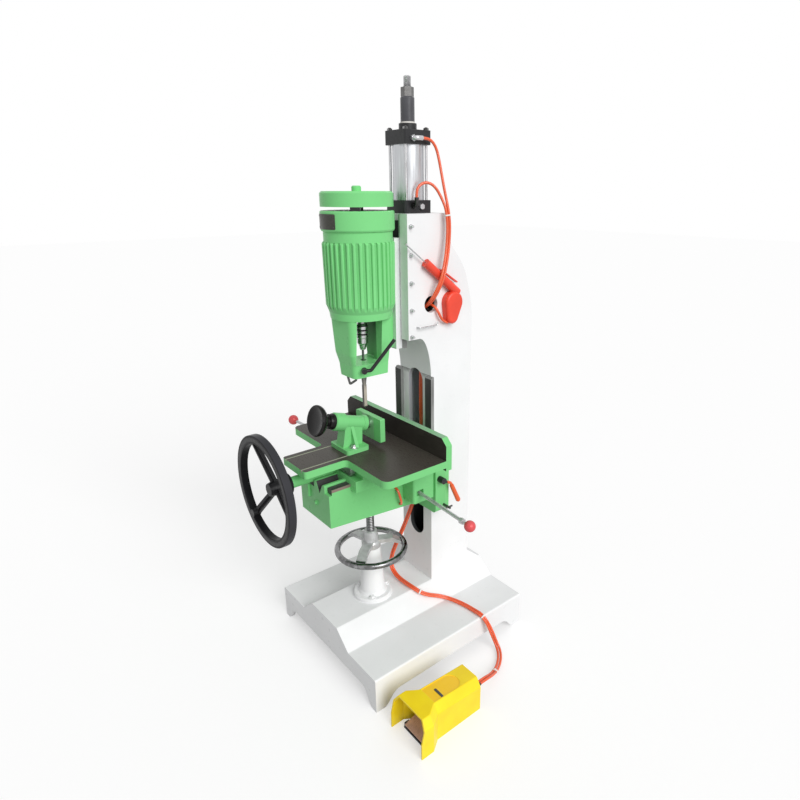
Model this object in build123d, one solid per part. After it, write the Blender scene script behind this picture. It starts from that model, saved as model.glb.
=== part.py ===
from build123d import *
import math
import os

# Hollow chisel mortiser on a floor stand, air driven.
# Millimetres, +Z up, X to the operator's right, Y towards the column's back.
# The origin is on the floor, in the middle of the machine's outline seen from above.
# Depths (names ending in _Y) are measured back from the base's front face.

# Place of the base's front face
BASE_FRONT = -232.5

# Fits
RUNNING_FIT = 0.05
SLIDE_FIT = 0.1
SEAT_GAP = 0.3

# Base casting
BASE_WIDTH = 570.0
BASE_DEPTH = 617.0
BASE_WALL = 14.0
PLATE_TOP = 171.0
PLATE_WIDTH = 154.0
TOE_TOP = 117.0
TOE_WIDTH = 145.0
BASE_ROUND = 6.0
FRONT_ARCH_TOP = 54.0
SIDE_ARCH_TOP = 43.0
FOOT_WIDTH = 20.0
FOOT_LENGTH = 30.0
ARCH_RUN = 62.0

# Column casting
COLUMN_WIDTH = 156.0
COLUMN_TOP = 1395.0
COLUMN_WALL = 14.0
COLUMN_CAP = 20.0
UPPER_FRONT_Y = 299.0
LOWER_FRONT_Y = 384.0
TOP_REAR_Y = 440.0
REAR_Y = 551.0
SHOULDER_Z = 1060.0
SHOULDER_CURVE = [(467.0, 1301.0), (511.0, 1242.0), (537.0, 1169.0)]
NECK_BACK_Y = 340.0
NECK_BOTTOM_Z = 900.0
UNDERSIDE_Z = 1040.0
REAR_FOOT_HEIGHT = 51.0
REAR_FOOT_LENGTH = 59.0
SLOT_WIDTH = 72.0
SLOT_BOTTOM_Z = 326.0
SLOT_TOP_Z = 925.0
WAY_FRONT_Y = 372.0
WAY_THICKNESS = 14.0
WAY_INNER = 62.0
WAY_OUTER = 92.0
WAY_BOTTOM_Z = 440.0
WAY_TOP_Z = 915.0
HOSE_HOLE_DIA = 50.0
HOSE_HOLE_Y = 384.0
HOSE_HOLE_Z = 1138.0

# Head slide, a dovetail bar in the column's upper channel
SLIDE_FRONT_Y = 283.0
SLIDE_NECK_Y = 305.0
SLIDE_REAR_Y = 317.0
SLIDE_HALF = 38.0
DOVETAIL_HALF = 46.0
SLIDE_BOTTOM_Z = 1010.0
SLIDE_TOP_Z = 1330.0
DOVETAIL_TOP_Z = 1290.0
CHANNEL_BACK_Y = 334.0
GIB_THICKNESS = 6.0
GIB_SCREW_Y = 310.0
GIB_SCREW_DIA = 8.0
GIB_SCREW_COUNT = 5
GIB_SCREW_LOW_Z = 1050.0
GIB_SCREW_PITCH = 78.0
GIB_NUT_SIZE = 11.0
GIB_NUT_HEIGHT = 6.0
GIB_SCREW_TAIL = 7.0
LUG_WIDTH = 40.0
LUG_BOTTOM_Z = 1085.0
LUG_HEIGHT = 35.0
HEAD_STROKE = 100.0

# Air cylinder on the column's top
CYLINDER_Y = 366.0
CAP_SIZE = 94.0
CAP_CHAMFER = 5.0
LOWER_CAP_HEIGHT = 35.0
UPPER_CAP_HEIGHT = 37.0
BARREL_LENGTH = 145.0
BARREL_DIA = 88.0
BORE_DIA = 80.0
TIE_ROD_PITCH = 72.0
TIE_ROD_DIA = 8.0
TIE_NUT_SIZE = 13.0
TIE_NUT_HEIGHT = 6.0
BOSS_DIA = 50.0
BOSS_HEIGHT = 18.0
BUMPER_DIA = 41.0
BUMPER_HEIGHT = 4.0
ROD_DIA = 20.0
SLEEVE_DIA = 39.0
SLEEVE_HEIGHT = 63.0
ROD_NUT_SIZE = 31.5
ROD_NUT_HEIGHT = 23.0
ROD_TAIL = 28.0
PISTON_HEIGHT = 40.0
PISTON_START = 2.0
FITTING_HEX = 15.0
FITTING_HEX_HEIGHT = 7.0
FITTING_BODY_DIA = 12.5
FITTING_LEG = 22.0
PLUG_Y = 374.0

# Motor head
HEAD_Y = 189.0
RIB_DIA = 200.0
RIB_FOOT_DIA = 196.0
RIB_ROOT_DIA = 187.0
RIB_COUNT = 36
RIB_WIDTH = 9.5
MOTOR_BORE = 168.0
MOTOR_BOTTOM_Z = 1135.0
RIB_TOP_Z = 1325.0
RIB_FOOT_HEIGHT = 20.0
NECK_DIA = 190.0
RING_BOTTOM_Z = 1353.0
RING_TOP_Z = 1405.0
RING_DIA = 202.0
COVER_GAP = 10.0
COVER_DIA = 198.0
COVER_HEIGHT = 39.0
COVER_WALL = 5.0
KNOB_DIA = 26.0
KNOB_HEIGHT = 14.0
SPACER_WIDTH = 26.0
SPACER_DEPTH = 14.0
SPACER_COUNT = 2
SPACER_ANGLE = -36.0
STATOR_BORE = 104.0
ROTOR_DIA = 103.0
STACK_BOTTOM_Z = 1180.0
STACK_TOP_Z = 1300.0
SHAFT_DIA = 25.0
BEARING_DIA = 62.0
BEARING_WIDTH = 17.0
LOWER_BEARING_Z = 1122.0
FAN_DIA = 170.0
FAN_BLADES = 8

# Chuck housing under the motor
FLANGE_DIA = 175.0
FLANGE_BOTTOM_Z = 1116.0
HOUSING_REAR = 56.0
HOUSING_WALL = 8.0
HOUSING_BELLY_Z = 1015.0
HOUSING_NECK_Z = 982.0
HOUSING_BOTTOM_Z = 946.0
HOUSING_TOP_SIZE = (63.0, 73.0, 24.0)
HOUSING_BELLY_SIZE = (55.0, 68.0, 21.0)
HOUSING_NECK_SIZE = (48.0, 60.0, 18.0)
HOUSING_BOTTOM_SIZE = (44.0, 58.0, 17.0)
WINDOW_FRONT = 56.0
WINDOW_REAR = 28.0
WINDOW_POST = 16.0
WINDOW_BOTTOM_Z = 986.0
WINDOW_ROUND = 6.0
PAD_WIDTH = 48.0
CHUCK_DIA = 34.0
CHUCK_TOP_Z = 1096.0
CHUCK_NOSE_Z = 1018.0
BIT_DIA = 8.0
BIT_TIP_Z = 838.0
CHISEL_SIZE = 10.0
CHISEL_TIP_Z = 842.0
CHISEL_SHANK_DIA = 19.0
CHISEL_NECK_Z = 905.0
CHISEL_SHANK_BOTTOM_Z = 944.0
CHISEL_SHANK_TOP_Z = 984.0
LOCK_ANGLE = -31.0
LOCK_Z = 972.0
LOCK_HUB_DIA = 16.0
LOCK_SEAT = 60.5
LOCK_REACH = 69.0
LOCK_ROD_DIA = 10.0
LOCK_ELBOW = 18.0
LOCK_HANDLE = [43.5, 54.0, 90.0]

# Knee
KNEE_WIDTH = 168.0
KNEE_FRONT_Y = 0.0
KNEE_BACK_Y = 345.0
KNEE_TOP_Z = 633.0
KNEE_NOSE_Z = 529.0
KNEE_HEEL_Z = 500.0
KNEE_WALL = 14.0
KNEE_DECK = 34.0
KNEE_PLATE_WIDTH = 292.0
KNEE_PLATE_BOTTOM_Z = 478.0
KNEE_PLATE_TOP_Z = 690.0
KEEPER_THICKNESS = 14.0
VEE_X = 30.0
VEE_BOTTOM_Z = 622.0
VEE_TOP_Z = 657.0
VEE_HALF = 19.0
VEE_LOBE = 11.0
FLAT_WAY_TOP_Z = 650.0
FLAT_WAY_INSET = 10.0
BLOCK_OUT = 141.0
BLOCK_FRONT_Y = 262.0
BLOCK_BOTTOM_Z = 538.0
BLOCK_TOP_Z = 630.0
KNEE_HOSE_HOLE = 9.8

# Elevating screw and wheel
SCREW_Y = 190.0
SCREW_DIA = 26.0
SCREW_BOTTOM_Z = 225.0
SCREW_TOP_Z = 596.0
SCREW_BOSS_DIA = 62.0
PEDESTAL_FLANGE_DIA = 130.0
PEDESTAL_FLANGE = 13.0
PEDESTAL_FOOT_DIA = 84.0
PEDESTAL_TOP_DIA = 60.0
PEDESTAL_BORE = 31.0
PEDESTAL_TOP_Z = 352.0
LIFT_HUB_DIA = 54.0
LIFT_HUB_TOP_Z = 413.0
LIFT_RIM_R = 120.0
LIFT_RIM_DIA = 20.0
LIFT_RIM_Z = 346.0
LIFT_SPOKES = 3
LIFT_SPOKE_WIDTH = 31.0
LIFT_SPOKE_DEPTH = 13.0
LIFT_SPOKE_TURN = 67.0

# Saddle
SADDLE_WIDTH = 230.0
SADDLE_FRONT_Y = 72.0
SADDLE_BACK_Y = 300.0
SADDLE_TOP_Z = 682.0
STEP_Z = 668.0
STEP_Y = 97.0
CROSS_Y = 190.0
CROSS_FOOT_HALF = 55.0
CROSS_HEAD_HALF = 66.0

# Feed wheel, pinion and rack
FEED_X = -20.0
FEED_Z = 658.0
FEED_SHAFT_DIA = 20.0
SLEEVE_BAR_DIA = 34.0
SLEEVE_BAR_FRONT_Y = -68.0
MODULE = 1.5
PINION_TEETH = 20
PRESSURE_ANGLE = 20.0
BACKLASH = 0.3
PINION_FRONT_Y = 77.0
PINION_BACK_Y = 93.0
POCKET_ROOM = 1.5
JOURNAL_BACK_Y = 130.0
TABLE_TRAVEL = 80.0
FEED_RIM_R = 164.0
FEED_RIM_WIDTH = 24.0
FEED_RIM_DEPTH = 22.0
FEED_RIM_FRONT_Y = -152.0
FEED_HUB_FRONT_Y = -132.0
FEED_HUB_DIA = 40.0
FEED_DISC_DIA = 60.0
FEED_DISC_FRONT_Y = -86.0
FEED_SPOKES = 3
FEED_SPOKE_ANGLE = 110.0
FEED_SPOKE_WIDTH = 20.0
FEED_SPOKE_DEPTH = 12.0
FEED_BOSS_DIA = 24.0

# Table and fence
TABLE_TOP_Z = 722.0
TABLE_THICKNESS = 22.0
TABLE_WIDTH = 524.0
TABLE_FRONT_Y = 74.0
TONGUE_WIDTH = 134.0
TONGUE_FRONT_Y = -60.0
TABLE_CORNER = 22.0
TONGUE_CORNER = 8.0
INNER_CORNER = 15.0
RAIL_LENGTH = 380.0
RAIL_FRONT_Y = 98.0
GROOVE_X = 47.0
GROOVE_WIDTH = 4.0
GROOVE_DEPTH = 2.0
GROOVE_BACK_Y = 92.0
FENCE_FRONT_Y = 287.0
FENCE_THICKNESS = 21.0
FENCE_TOP_Z = 787.0
FENCE_BOTTOM_Z = 690.0
FENCE_CHAMFER = 20.0

# Vise, its screw line leaning down towards the fence
VISE_FRONT_Y = 24.0
VISE_FRONT_Z = 834.0
VISE_TILT = 16.0
VISE_FOOT_WIDTH = 100.0
VISE_FOOT_FRONT_Y = 90.0
VISE_FOOT_BACK_Y = 167.0
VISE_FOOT_HEIGHT = 13.0
VISE_WEB_WIDTH = 38.0
VISE_NECK_START = 53.0
VISE_NECK_END = 92.0
VISE_NECK_DIA = 54.0
VISE_BARREL_END = 166.0
VISE_BARREL_DIA = 42.0
RAM_DIA = 30.0
RAM_START = 102.0
VISE_SCREW_DIA = 14.0
VISE_SCREW_END = 146.0
JAW_WIDTH = 130.0
JAW_FRONT_Y = 197.0
JAW_THICKNESS = 17.0
JAW_BOTTOM_Z = 738.0
JAW_TOP_Z = 812.0
VISE_WHEEL_DIA = 85.0
VISE_WHEEL_DEPTH = 22.0
VISE_COLLAR_DIA = 44.0
VISE_COLLAR = 17.0

# Levers
BALL_DIA = 34.0
BALL_SOCKET = 6.0
LEVER_ROD_DIA = 11.0
RIGHT_PIVOT = (122.0, 286.0, 572.0)
RIGHT_BALL = (366.5, 286.0, 557.5)
RIGHT_HUB_DIA = 26.0
RIGHT_HUB_HEIGHT = 18.0
RIGHT_PIN_DIA = 10.0
LEFT_PIVOT = (-232.0, 165.0, 684.0)
LEFT_BALL = (-366.5, 128.5, 702.5)
LEFT_HUB_DIA = 24.0
LEFT_HUB_HEIGHT = 14.0
CLAMP_HUB = (361.0, 597.0)
CLAMP_ELBOW = (392.0, 580.0)
CLAMP_END = (428.0, 503.0)
CLAMP_HUB_DIA = 20.0
CLAMP_OUT = 18.0
CLAMP_ROD_DIA = 9.0
CLAMP_GRIP_DIA = 16.0
LOCK_SCREW_Y = 379.0
LOCK_SCREW_Z = 500.0
LOCK_SCREW_DIA = 8.0
LOCK_SCREW_OUT = 24.0
LOCK_BAR_LENGTH = 30.0
LOCK_BAR_DIA = 6.0

# Air gun on the column's right side
GUN_BARREL_DIA = 25.0
GUN_FRONT = (353.0, 1262.0)
GUN_HEEL = (476.0, 1166.0)
GUN_GRIP_END = (452.0, 1086.0)
GUN_GRIP_DIA = 66.0
GUN_GRIP_THICKNESS = 26.0
NOZZLE_LENGTH = 91.0
NOZZLE_SEAT = 25.0
TRIGGER_START = 62.0
TRIGGER_HEIGHT = 16.0
TRIGGER_LENGTH = 72.0
TRIGGER_WIDTH = 11.0
TRIGGER_THICKNESS = 3.5
TRIGGER_EAR = 3.0
TRIGGER_PIN_DIA = 3.0
TRIGGER_OPEN = 5.0
GUN_NOZZLE_DIA = 4.0
HOOK_DIA = 4.0
HOOK_Y = 330.0
HOOK_END_Y = 396.0
HOOK_Z = 1076.0
HOOK_DEPTH = 8.0
HOOK_TURN = 10.0

# Foot valve on the floor beside the base
PEDAL_X = 421.0
PEDAL_FRONT_Y = 6.0
PEDAL_WING_Y = 48.0
PEDAL_HOOD_Y = 80.0
PEDAL_BACK_Y = 245.0
PEDAL_BODY_WIDTH = 98.0
PEDAL_HOOD_WIDTH = 142.0
PEDAL_FRONT_HEIGHT = 118.0
PEDAL_BACK_HEIGHT = 108.0
PEDAL_WALL = 4.0
PEDAL_BEVEL = 17.0
PEDAL_BEVEL_DROP = 26.0
PEDAL_BEVEL_ROUND = 5.0
PANEL_SINK = 1.6
PANEL_WIDTH = 58.0
PANEL_FRONT_Y = 84.0
PANEL_BACK_Y = 196.0
PEDAL_FLOOR = 5.0
TREADLE_WIDTH = 76.0
TREADLE_PIVOT_Y = 40.0
TREADLE_PIVOT_Z = 13.0
TREADLE_LENGTH = 128.0
TREADLE_THICKNESS = 5.0
TREADLE_TILT = 17.0
TREADLE_PIN_DIA = 6.0
KNUCKLE_DIA = 11.0
EAR_THICKNESS = 4.0
EAR_HALF = 8.0
VALVE_WIDTH = 50.0
VALVE_FRONT_Y = 182.0
VALVE_HEIGHT = 62.0
PEDAL_HOSE_Z = 40.0
NIPPLE_LENGTH = 48.0
NIPPLE_DIA = 9.0

# Air hoses, routes as (x, y back from the base's front, z)
HOSE_DIA = 8.0
HOSE_TOP_ROUTE = [
    (97, 428, 1408), (101, 431, 1370), (103, 429, 1332), (107, 421, 1286), (111, 409, 1246),
    (113, 397, 1213),
    (107, 386, 1184), (95, 380, 1160), (77, 379, 1142), (58, 379, 1130)]
HOSE_UPPER_START = [
    (62, 368, 1590), (62, 388, 1590), (63, 405, 1581), (65, 416, 1564), (70, 421, 1536), (77, 424, 1500),
    (86, 427, 1458)]
HOSE_LOWER_START = [
    (62, 346, 1438), (62, 346, 1453), (63, 352, 1466), (65, 363, 1474), (69, 377, 1477), (74, 390, 1473),
    (79, 401, 1463), (84, 410, 1448), (90, 417, 1430)]
HOSE_GUN_ROUTE = [
    (52, 394, 1136), (70, 394, 1135), (84, 397, 1127), (91, 403, 1112), (92, 411, 1096), (91, 423, 1084),
    (91, 437, 1078)]
HOSE_PEDAL_ROUTE = [
    (58, 379, 1130), (39, 379, 1118), (29, 379, 1099), (24, 384, 1072), (17, 395, 1036), (6, 403, 988),
    (3, 405, 916), (-2, 407, 816), (3, 405, 714), (-4, 407, 622), (-12, 405, 552),
    (-20, 399, 490), (-25, 388, 436), (-27, 368, 392), (-24, 344, 354), (-28, 325, 315), (-36, 310, 276),
    (-42, 300, 240), (-36, 294, 206), (-12, 293, 187), (20, 295, 180), (54, 297, 180), (82, 301, 178),
    (104, 316, 164), (118, 343, 149), (129, 373, 138), (147, 399, 127), (177, 415, 123), (214, 424, 123),
    (250, 428, 123), (281, 429, 126), (302, 436, 106), (313, 447, 70), (323, 456, 34), (341, 456, 11),
    (364, 439, 7), (386, 412, 8), (404, 380, 13), (418, 345, 26), (426, 312, 40), (426, 282, 40)]
HOSE_KNEE_ROUTE = [
    (74, 234, 584), (90, 234, 584), (100, 235, 571), (102, 239, 552), (99, 245, 534), (90, 249, 522),
    (74, 250, 522)]
HOSE_PAIR_GAP = 10.5


def back(distance):
    """Y of a point that lies this far back from the base's front face."""
    return BASE_FRONT + distance


def slab_x(face, low, high):
    """A face drawn in (Y, Z) thickened from X = low to X = high."""
    return extrude(Plane.YZ.offset(low) * face, amount=high - low)


def slab_y(face, low, high):
    """A face drawn in (X, Z) thickened from Y = low to Y = high."""
    return extrude(Plane.XZ.offset(-high) * face, amount=high - low)


def slab_z(face, low, high):
    """A face drawn in (X, Y) thickened from Z = low to Z = high."""
    return extrude(Plane.XY.offset(low) * face, amount=high - low)


def outline(points):
    return Polygon(*points, align=None)


def block(x0, x1, y0, y1, z0, z1):
    """A box between two corners."""
    return Pos((x0 + x1) / 2, (y0 + y1) / 2, (z0 + z1) / 2) * Box(x1 - x0, y1 - y0, z1 - z0)


def rod(start, end, diameter):
    """A round bar between two points."""
    line = Vector(*end) - Vector(*start)
    return extrude(Plane(origin=start, z_dir=line) * Circle(diameter / 2), amount=line.length)


def upright(x, y, diameter, low, high):
    """A round bar standing on end."""
    return rod((x, y, low), (x, y, high), diameter)


def turned(points, x, y):
    """A body turned about the upright line through (x, y), from points (radius, height)."""
    return Pos(x, y, 0) * revolve(Plane.XZ * outline(points), Axis.Z)


def hexagon(across):
    """A hexagon given by its distance across flats."""
    return RegularPolygon(across / 2, 6, major_radius=False)


def hex_bar(start, end, across):
    line = Vector(*end) - Vector(*start)
    return extrude(Plane(origin=start, z_dir=line) * hexagon(across), amount=line.length)


def ball(centre, diameter):
    return Pos(*centre) * Sphere(diameter / 2)


def wire(points, diameter, bend):
    """A round bar bent to a radius at each inner point."""
    path = FilletPolyline(*points, radius=bend)
    return sweep(Plane(origin=path @ 0, z_dir=path % 0) * Circle(diameter / 2), path=path)


def lathe(start, end, points):
    """A body turned about the line from start to end, from points (radius, distance from start)."""
    line = Vector(*end) - Vector(*start)
    return Plane(origin=start, z_dir=line) * revolve(Plane.XZ * outline(points), Axis.Z)


def mirrored(shape):
    """A shape and its mirror image across the machine's middle plane."""
    return shape + mirror(shape, Plane.YZ)


# Base


def arch(half, foot, top, run):
    """The gap under a skirt, between two feet, with an S-curve up from each foot."""
    edge = half - foot
    right = Spline((edge, 0), (edge - run, top), tangents=[(-1, 0.35), (-1, 0)])
    left = Spline((run - edge, top), (-edge, 0), tangents=[(-1, 0), (-1, -0.35)])
    return make_face([right, Line(right @ 1, left @ 0), left,
                      Polyline(left @ 1, (-edge, -1), (edge, -1), right @ 0)])


def base_casting():
    half = BASE_WIDTH / 2
    rear = back(BASE_DEPTH)
    section = [(half, 0), (half, TOE_TOP), (half - TOE_WIDTH, TOE_TOP), (PLATE_WIDTH / 2, PLATE_TOP)]
    skin = outline(section + [(-x, z) for x, z in reversed(section)])
    skin = fillet([v for v in skin.vertices() if v.Y > 1], BASE_ROUND)
    inside = [(half - BASE_WALL, -1), (half - BASE_WALL, TOE_TOP - BASE_WALL)]
    inside += [(half - TOE_WIDTH - BASE_WALL / 3, TOE_TOP - BASE_WALL)]
    inside += [(PLATE_WIDTH / 2 - BASE_WALL / 3, PLATE_TOP - BASE_WALL)]
    hollow = outline(inside + [(-x, z) for x, z in reversed(inside)])
    casting = slab_y(skin, BASE_FRONT, rear)
    casting -= slab_y(hollow, BASE_FRONT + BASE_WALL, rear - BASE_WALL)
    casting -= slab_y(arch(half, FOOT_WIDTH, FRONT_ARCH_TOP, ARCH_RUN), BASE_FRONT - 1, rear + 1)
    side_gap = Pos((BASE_FRONT + rear) / 2, 0) * arch(BASE_DEPTH / 2, FOOT_LENGTH, SIDE_ARCH_TOP, ARCH_RUN)
    casting -= slab_x(side_gap, -half - 1, half + 1)
    casting -= upright(0, back(SCREW_Y), PEDESTAL_BORE, PLATE_TOP - 2 * BASE_WALL, PLATE_TOP + 1)
    return casting


def pedestal():
    foot = PLATE_TOP + PEDESTAL_FLANGE
    points = [(PEDESTAL_BORE / 2, PLATE_TOP), (PEDESTAL_FLANGE_DIA / 2, PLATE_TOP)]
    points += [(PEDESTAL_FLANGE_DIA / 2, foot - 4), (PEDESTAL_FLANGE_DIA / 2 - 4, foot)]
    points += [(PEDESTAL_FOOT_DIA / 2 + 6, foot), (PEDESTAL_FOOT_DIA / 2, foot + 9)]
    points += [(PEDESTAL_TOP_DIA / 2, PEDESTAL_TOP_Z), (PEDESTAL_BORE / 2, PEDESTAL_TOP_Z)]
    return turned(points, 0, back(SCREW_Y))


# Column


def column_outline():
    """The column's side view: slide housing above, curved neck, straight leg, flared rear foot."""
    front = back(LOWER_FRONT_Y)
    upper = back(UPPER_FRONT_Y)
    neck = back(NECK_BACK_Y)
    curve = [(back(y), z) for y, z in SHOULDER_CURVE]
    shoulder = Spline(
        (back(TOP_REAR_Y), COLUMN_TOP), *curve, (back(REAR_Y), SHOULDER_Z), tangents=[(0.15, -1), (0, -1)])
    foot = [(back(REAR_Y), PLATE_TOP + REAR_FOOT_HEIGHT), (back(REAR_Y) + REAR_FOOT_LENGTH, PLATE_TOP)]
    leg = Polyline(shoulder @ 1, *foot, (front, PLATE_TOP), (front, NECK_BOTTOM_Z))
    sweep_up = EllipticalCenterArc(
        (neck, NECK_BOTTOM_Z), front - neck, UNDERSIDE_Z - NECK_BOTTOM_Z, start_angle=0, arc_size=90)
    face = Polyline(sweep_up @ 1, (upper, UNDERSIDE_Z), (upper, COLUMN_TOP), shoulder @ 0)
    return make_face([shoulder, leg, sweep_up, face])


def column_hollow():
    """The inside of the column in side view, one wall in from its outline."""
    wall = COLUMN_WALL
    front = back(LOWER_FRONT_Y) + wall
    neck = back(NECK_BACK_Y)
    deck = COLUMN_TOP - COLUMN_CAP
    channel = back(CHANNEL_BACK_Y)
    rear = [(back(y) - wall, z - wall) for y, z in SHOULDER_CURVE]
    rear += [(back(REAR_Y) - wall, SHOULDER_Z - wall), (back(REAR_Y) - wall, PLATE_TOP - 1)]
    sweep_up = EllipticalCenterArc(
        (neck, NECK_BOTTOM_Z), front - neck, UNDERSIDE_Z - NECK_BOTTOM_Z + wall, start_angle=0, arc_size=90)
    leg = Polyline(*rear, (front, PLATE_TOP - 1), (front, NECK_BOTTOM_Z))
    top = Polyline(
        sweep_up @ 1, (channel, UNDERSIDE_Z + wall), (channel, deck), (back(TOP_REAR_Y) - 2 * wall, deck),
        leg @ 0)
    return make_face([leg, sweep_up, top])


def slide_section(gap, gib):
    """The head slide's section in (X, Y), opened by a gap all round and by a gib on the right."""
    front = back(SLIDE_FRONT_Y)
    neck = back(SLIDE_NECK_Y)
    rear = back(SLIDE_REAR_Y)
    right = [(SLIDE_HALF + gap + gib, front), (SLIDE_HALF + gap + gib, neck),
             (DOVETAIL_HALF + gap + gib, rear + gap)]
    left = [(-DOVETAIL_HALF - gap, rear + gap), (-SLIDE_HALF - gap, neck), (-SLIDE_HALF - gap, front)]
    return outline(right + left)


def gib_screw_heights():
    return [GIB_SCREW_LOW_Z + GIB_SCREW_PITCH * i for i in range(GIB_SCREW_COUNT)]


def column():
    half = COLUMN_WIDTH / 2
    leg = back(LOWER_FRONT_Y)
    casting = slab_x(column_outline(), -half, half)
    way = block(WAY_INNER, WAY_OUTER, back(WAY_FRONT_Y), back(WAY_FRONT_Y) + WAY_THICKNESS, WAY_BOTTOM_Z,
                WAY_TOP_Z)
    casting += mirrored(chamfer(way.edges().group_by(Axis.Z)[-1].sort_by(Axis.Y)[0], 6))
    casting -= slab_x(column_hollow(), COLUMN_WALL - half, half - COLUMN_WALL)
    slot = Pos(0, (SLOT_TOP_Z + SLOT_BOTTOM_Z) / 2) * SlotOverall(SLOT_TOP_Z - SLOT_BOTTOM_Z, SLOT_WIDTH,
                                                                  rotation=90)
    casting -= slab_y(slot, leg - WAY_THICKNESS, leg + 2 * COLUMN_WALL)
    channel = slide_section(SLIDE_FIT, GIB_THICKNESS + SLIDE_FIT)
    casting -= slab_z(channel, UNDERSIDE_Z - 1, COLUMN_TOP + 1)
    lug_half = LUG_WIDTH / 2 + 2
    lug_high = LUG_BOTTOM_Z + LUG_HEIGHT + HEAD_STROKE + 10
    casting -= block(
        -lug_half, lug_half, back(SLIDE_REAR_Y) - 1, back(CHANNEL_BACK_Y) + 1, LUG_BOTTOM_Z - 10, lug_high)
    casting -= upright(0, back(CYLINDER_Y), ROD_DIA + 6, COLUMN_TOP - COLUMN_CAP - 1, COLUMN_TOP + 1)
    casting -= rod(
        (half - COLUMN_WALL - 1, back(HOSE_HOLE_Y), HOSE_HOLE_Z),
        (half + 1, back(HOSE_HOLE_Y), HOSE_HOLE_Z),
        HOSE_HOLE_DIA)
    casting -= rod(
        (half - HOOK_DEPTH, back(HOOK_Y), HOOK_Z), (half + 1, back(HOOK_Y), HOOK_Z),
        HOOK_DIA + 2 * RUNNING_FIT)
    for z in gib_screw_heights():
        casting -= rod((SLIDE_HALF, back(GIB_SCREW_Y), z), (half + 1, back(GIB_SCREW_Y), z),
                       GIB_SCREW_DIA + 2 * RUNNING_FIT)
    return casting


def gib_strip():
    """The strip between the slide's right flank and the channel's right wall."""
    front = back(UPPER_FRONT_Y)
    whole = slide_section(SLIDE_FIT, GIB_THICKNESS)
    bar = slab_z(whole, UNDERSIDE_Z, COLUMN_TOP - SEAT_GAP)
    bar -= slab_z(slide_section(SLIDE_FIT, 0), UNDERSIDE_Z - 1, COLUMN_TOP + 1)
    bar -= block(0, COLUMN_WIDTH, back(SLIDE_FRONT_Y) - 1, front, UNDERSIDE_Z - 1, COLUMN_TOP + 1)
    return bar


def gib_screws():
    """Set screws that press the gib, each with its lock nut on the column's right side."""
    face = COLUMN_WIDTH / 2
    y = back(GIB_SCREW_Y)
    seat = SLIDE_HALF + GIB_THICKNESS + (GIB_SCREW_Y - SLIDE_NECK_Y) * (DOVETAIL_HALF - SLIDE_HALF) / (
        SLIDE_REAR_Y - SLIDE_NECK_Y) + GIB_SCREW_DIA / 2
    screws = []
    for z in gib_screw_heights():
        screw = rod((seat, y, z), (face + GIB_NUT_HEIGHT + GIB_SCREW_TAIL, y, z), GIB_SCREW_DIA)
        screws.append(screw + hex_bar((face, y, z), (face + GIB_NUT_HEIGHT, y, z), GIB_NUT_SIZE))
    return screws


# Air cylinder


def cap_plate(low, high):
    """A square end cap with its four tie rod holes."""
    cap = block(-CAP_SIZE / 2, CAP_SIZE / 2, back(CYLINDER_Y) - CAP_SIZE / 2,
                back(CYLINDER_Y) + CAP_SIZE / 2, low, high)
    cap = chamfer(cap.edges().filter_by(Axis.Z), CAP_CHAMFER)
    for x, y in tie_rod_places():
        cap -= upright(x, y, TIE_ROD_DIA + 2 * RUNNING_FIT, low - 1, high + 1)
    return cap


def tie_rod_places():
    reach = TIE_ROD_PITCH / 2
    return [(sx * reach, back(CYLINDER_Y) + sy * reach) for sx in (-1, 1) for sy in (-1, 1)]


def cylinder_lower_cap():
    top = COLUMN_TOP + LOWER_CAP_HEIGHT
    cap = cap_plate(COLUMN_TOP, top)
    return cap - upright(0, back(CYLINDER_Y), ROD_DIA + 2 * RUNNING_FIT, COLUMN_TOP - 1, top + 1)


def cylinder_barrel():
    low = COLUMN_TOP + LOWER_CAP_HEIGHT
    tube = upright(0, back(CYLINDER_Y), BARREL_DIA, low, low + BARREL_LENGTH)
    return tube - upright(0, back(CYLINDER_Y), BORE_DIA, low - 1, low + BARREL_LENGTH + 1)


def cylinder_upper_cap():
    low = COLUMN_TOP + LOWER_CAP_HEIGHT + BARREL_LENGTH
    top = low + UPPER_CAP_HEIGHT
    y = back(CYLINDER_Y)
    cap = cap_plate(low, top)
    boss = upright(0, y, BOSS_DIA, top, top + BOSS_HEIGHT)
    boss += upright(0, y, BUMPER_DIA, top + BOSS_HEIGHT, top + BOSS_HEIGHT + BUMPER_HEIGHT)
    cap += boss
    return cap - upright(0, y, ROD_DIA + 2 * RUNNING_FIT, low - 1, top + BOSS_HEIGHT + BUMPER_HEIGHT + 1)


def cylinder_tie_rods():
    low = COLUMN_TOP
    high = COLUMN_TOP + LOWER_CAP_HEIGHT + BARREL_LENGTH + UPPER_CAP_HEIGHT
    rods = []
    for x, y in tie_rod_places():
        bar = upright(x, y, TIE_ROD_DIA, low, high + TIE_NUT_HEIGHT + 2)
        rods.append(bar + hex_bar((x, y, high), (x, y, high + TIE_NUT_HEIGHT), TIE_NUT_SIZE))
    return rods


def sleeve_bottom():
    return COLUMN_TOP + LOWER_CAP_HEIGHT + BARREL_LENGTH + UPPER_CAP_HEIGHT + BOSS_HEIGHT + BUMPER_HEIGHT


def piston_rod():
    y = back(CYLINDER_Y)
    top = sleeve_bottom() + SLEEVE_HEIGHT + ROD_NUT_HEIGHT + ROD_TAIL
    bar = upright(0, y, ROD_DIA, LUG_BOTTOM_Z - 24, top)
    return chamfer(bar.edges().group_by(Axis.Z)[-1], 2)


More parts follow.
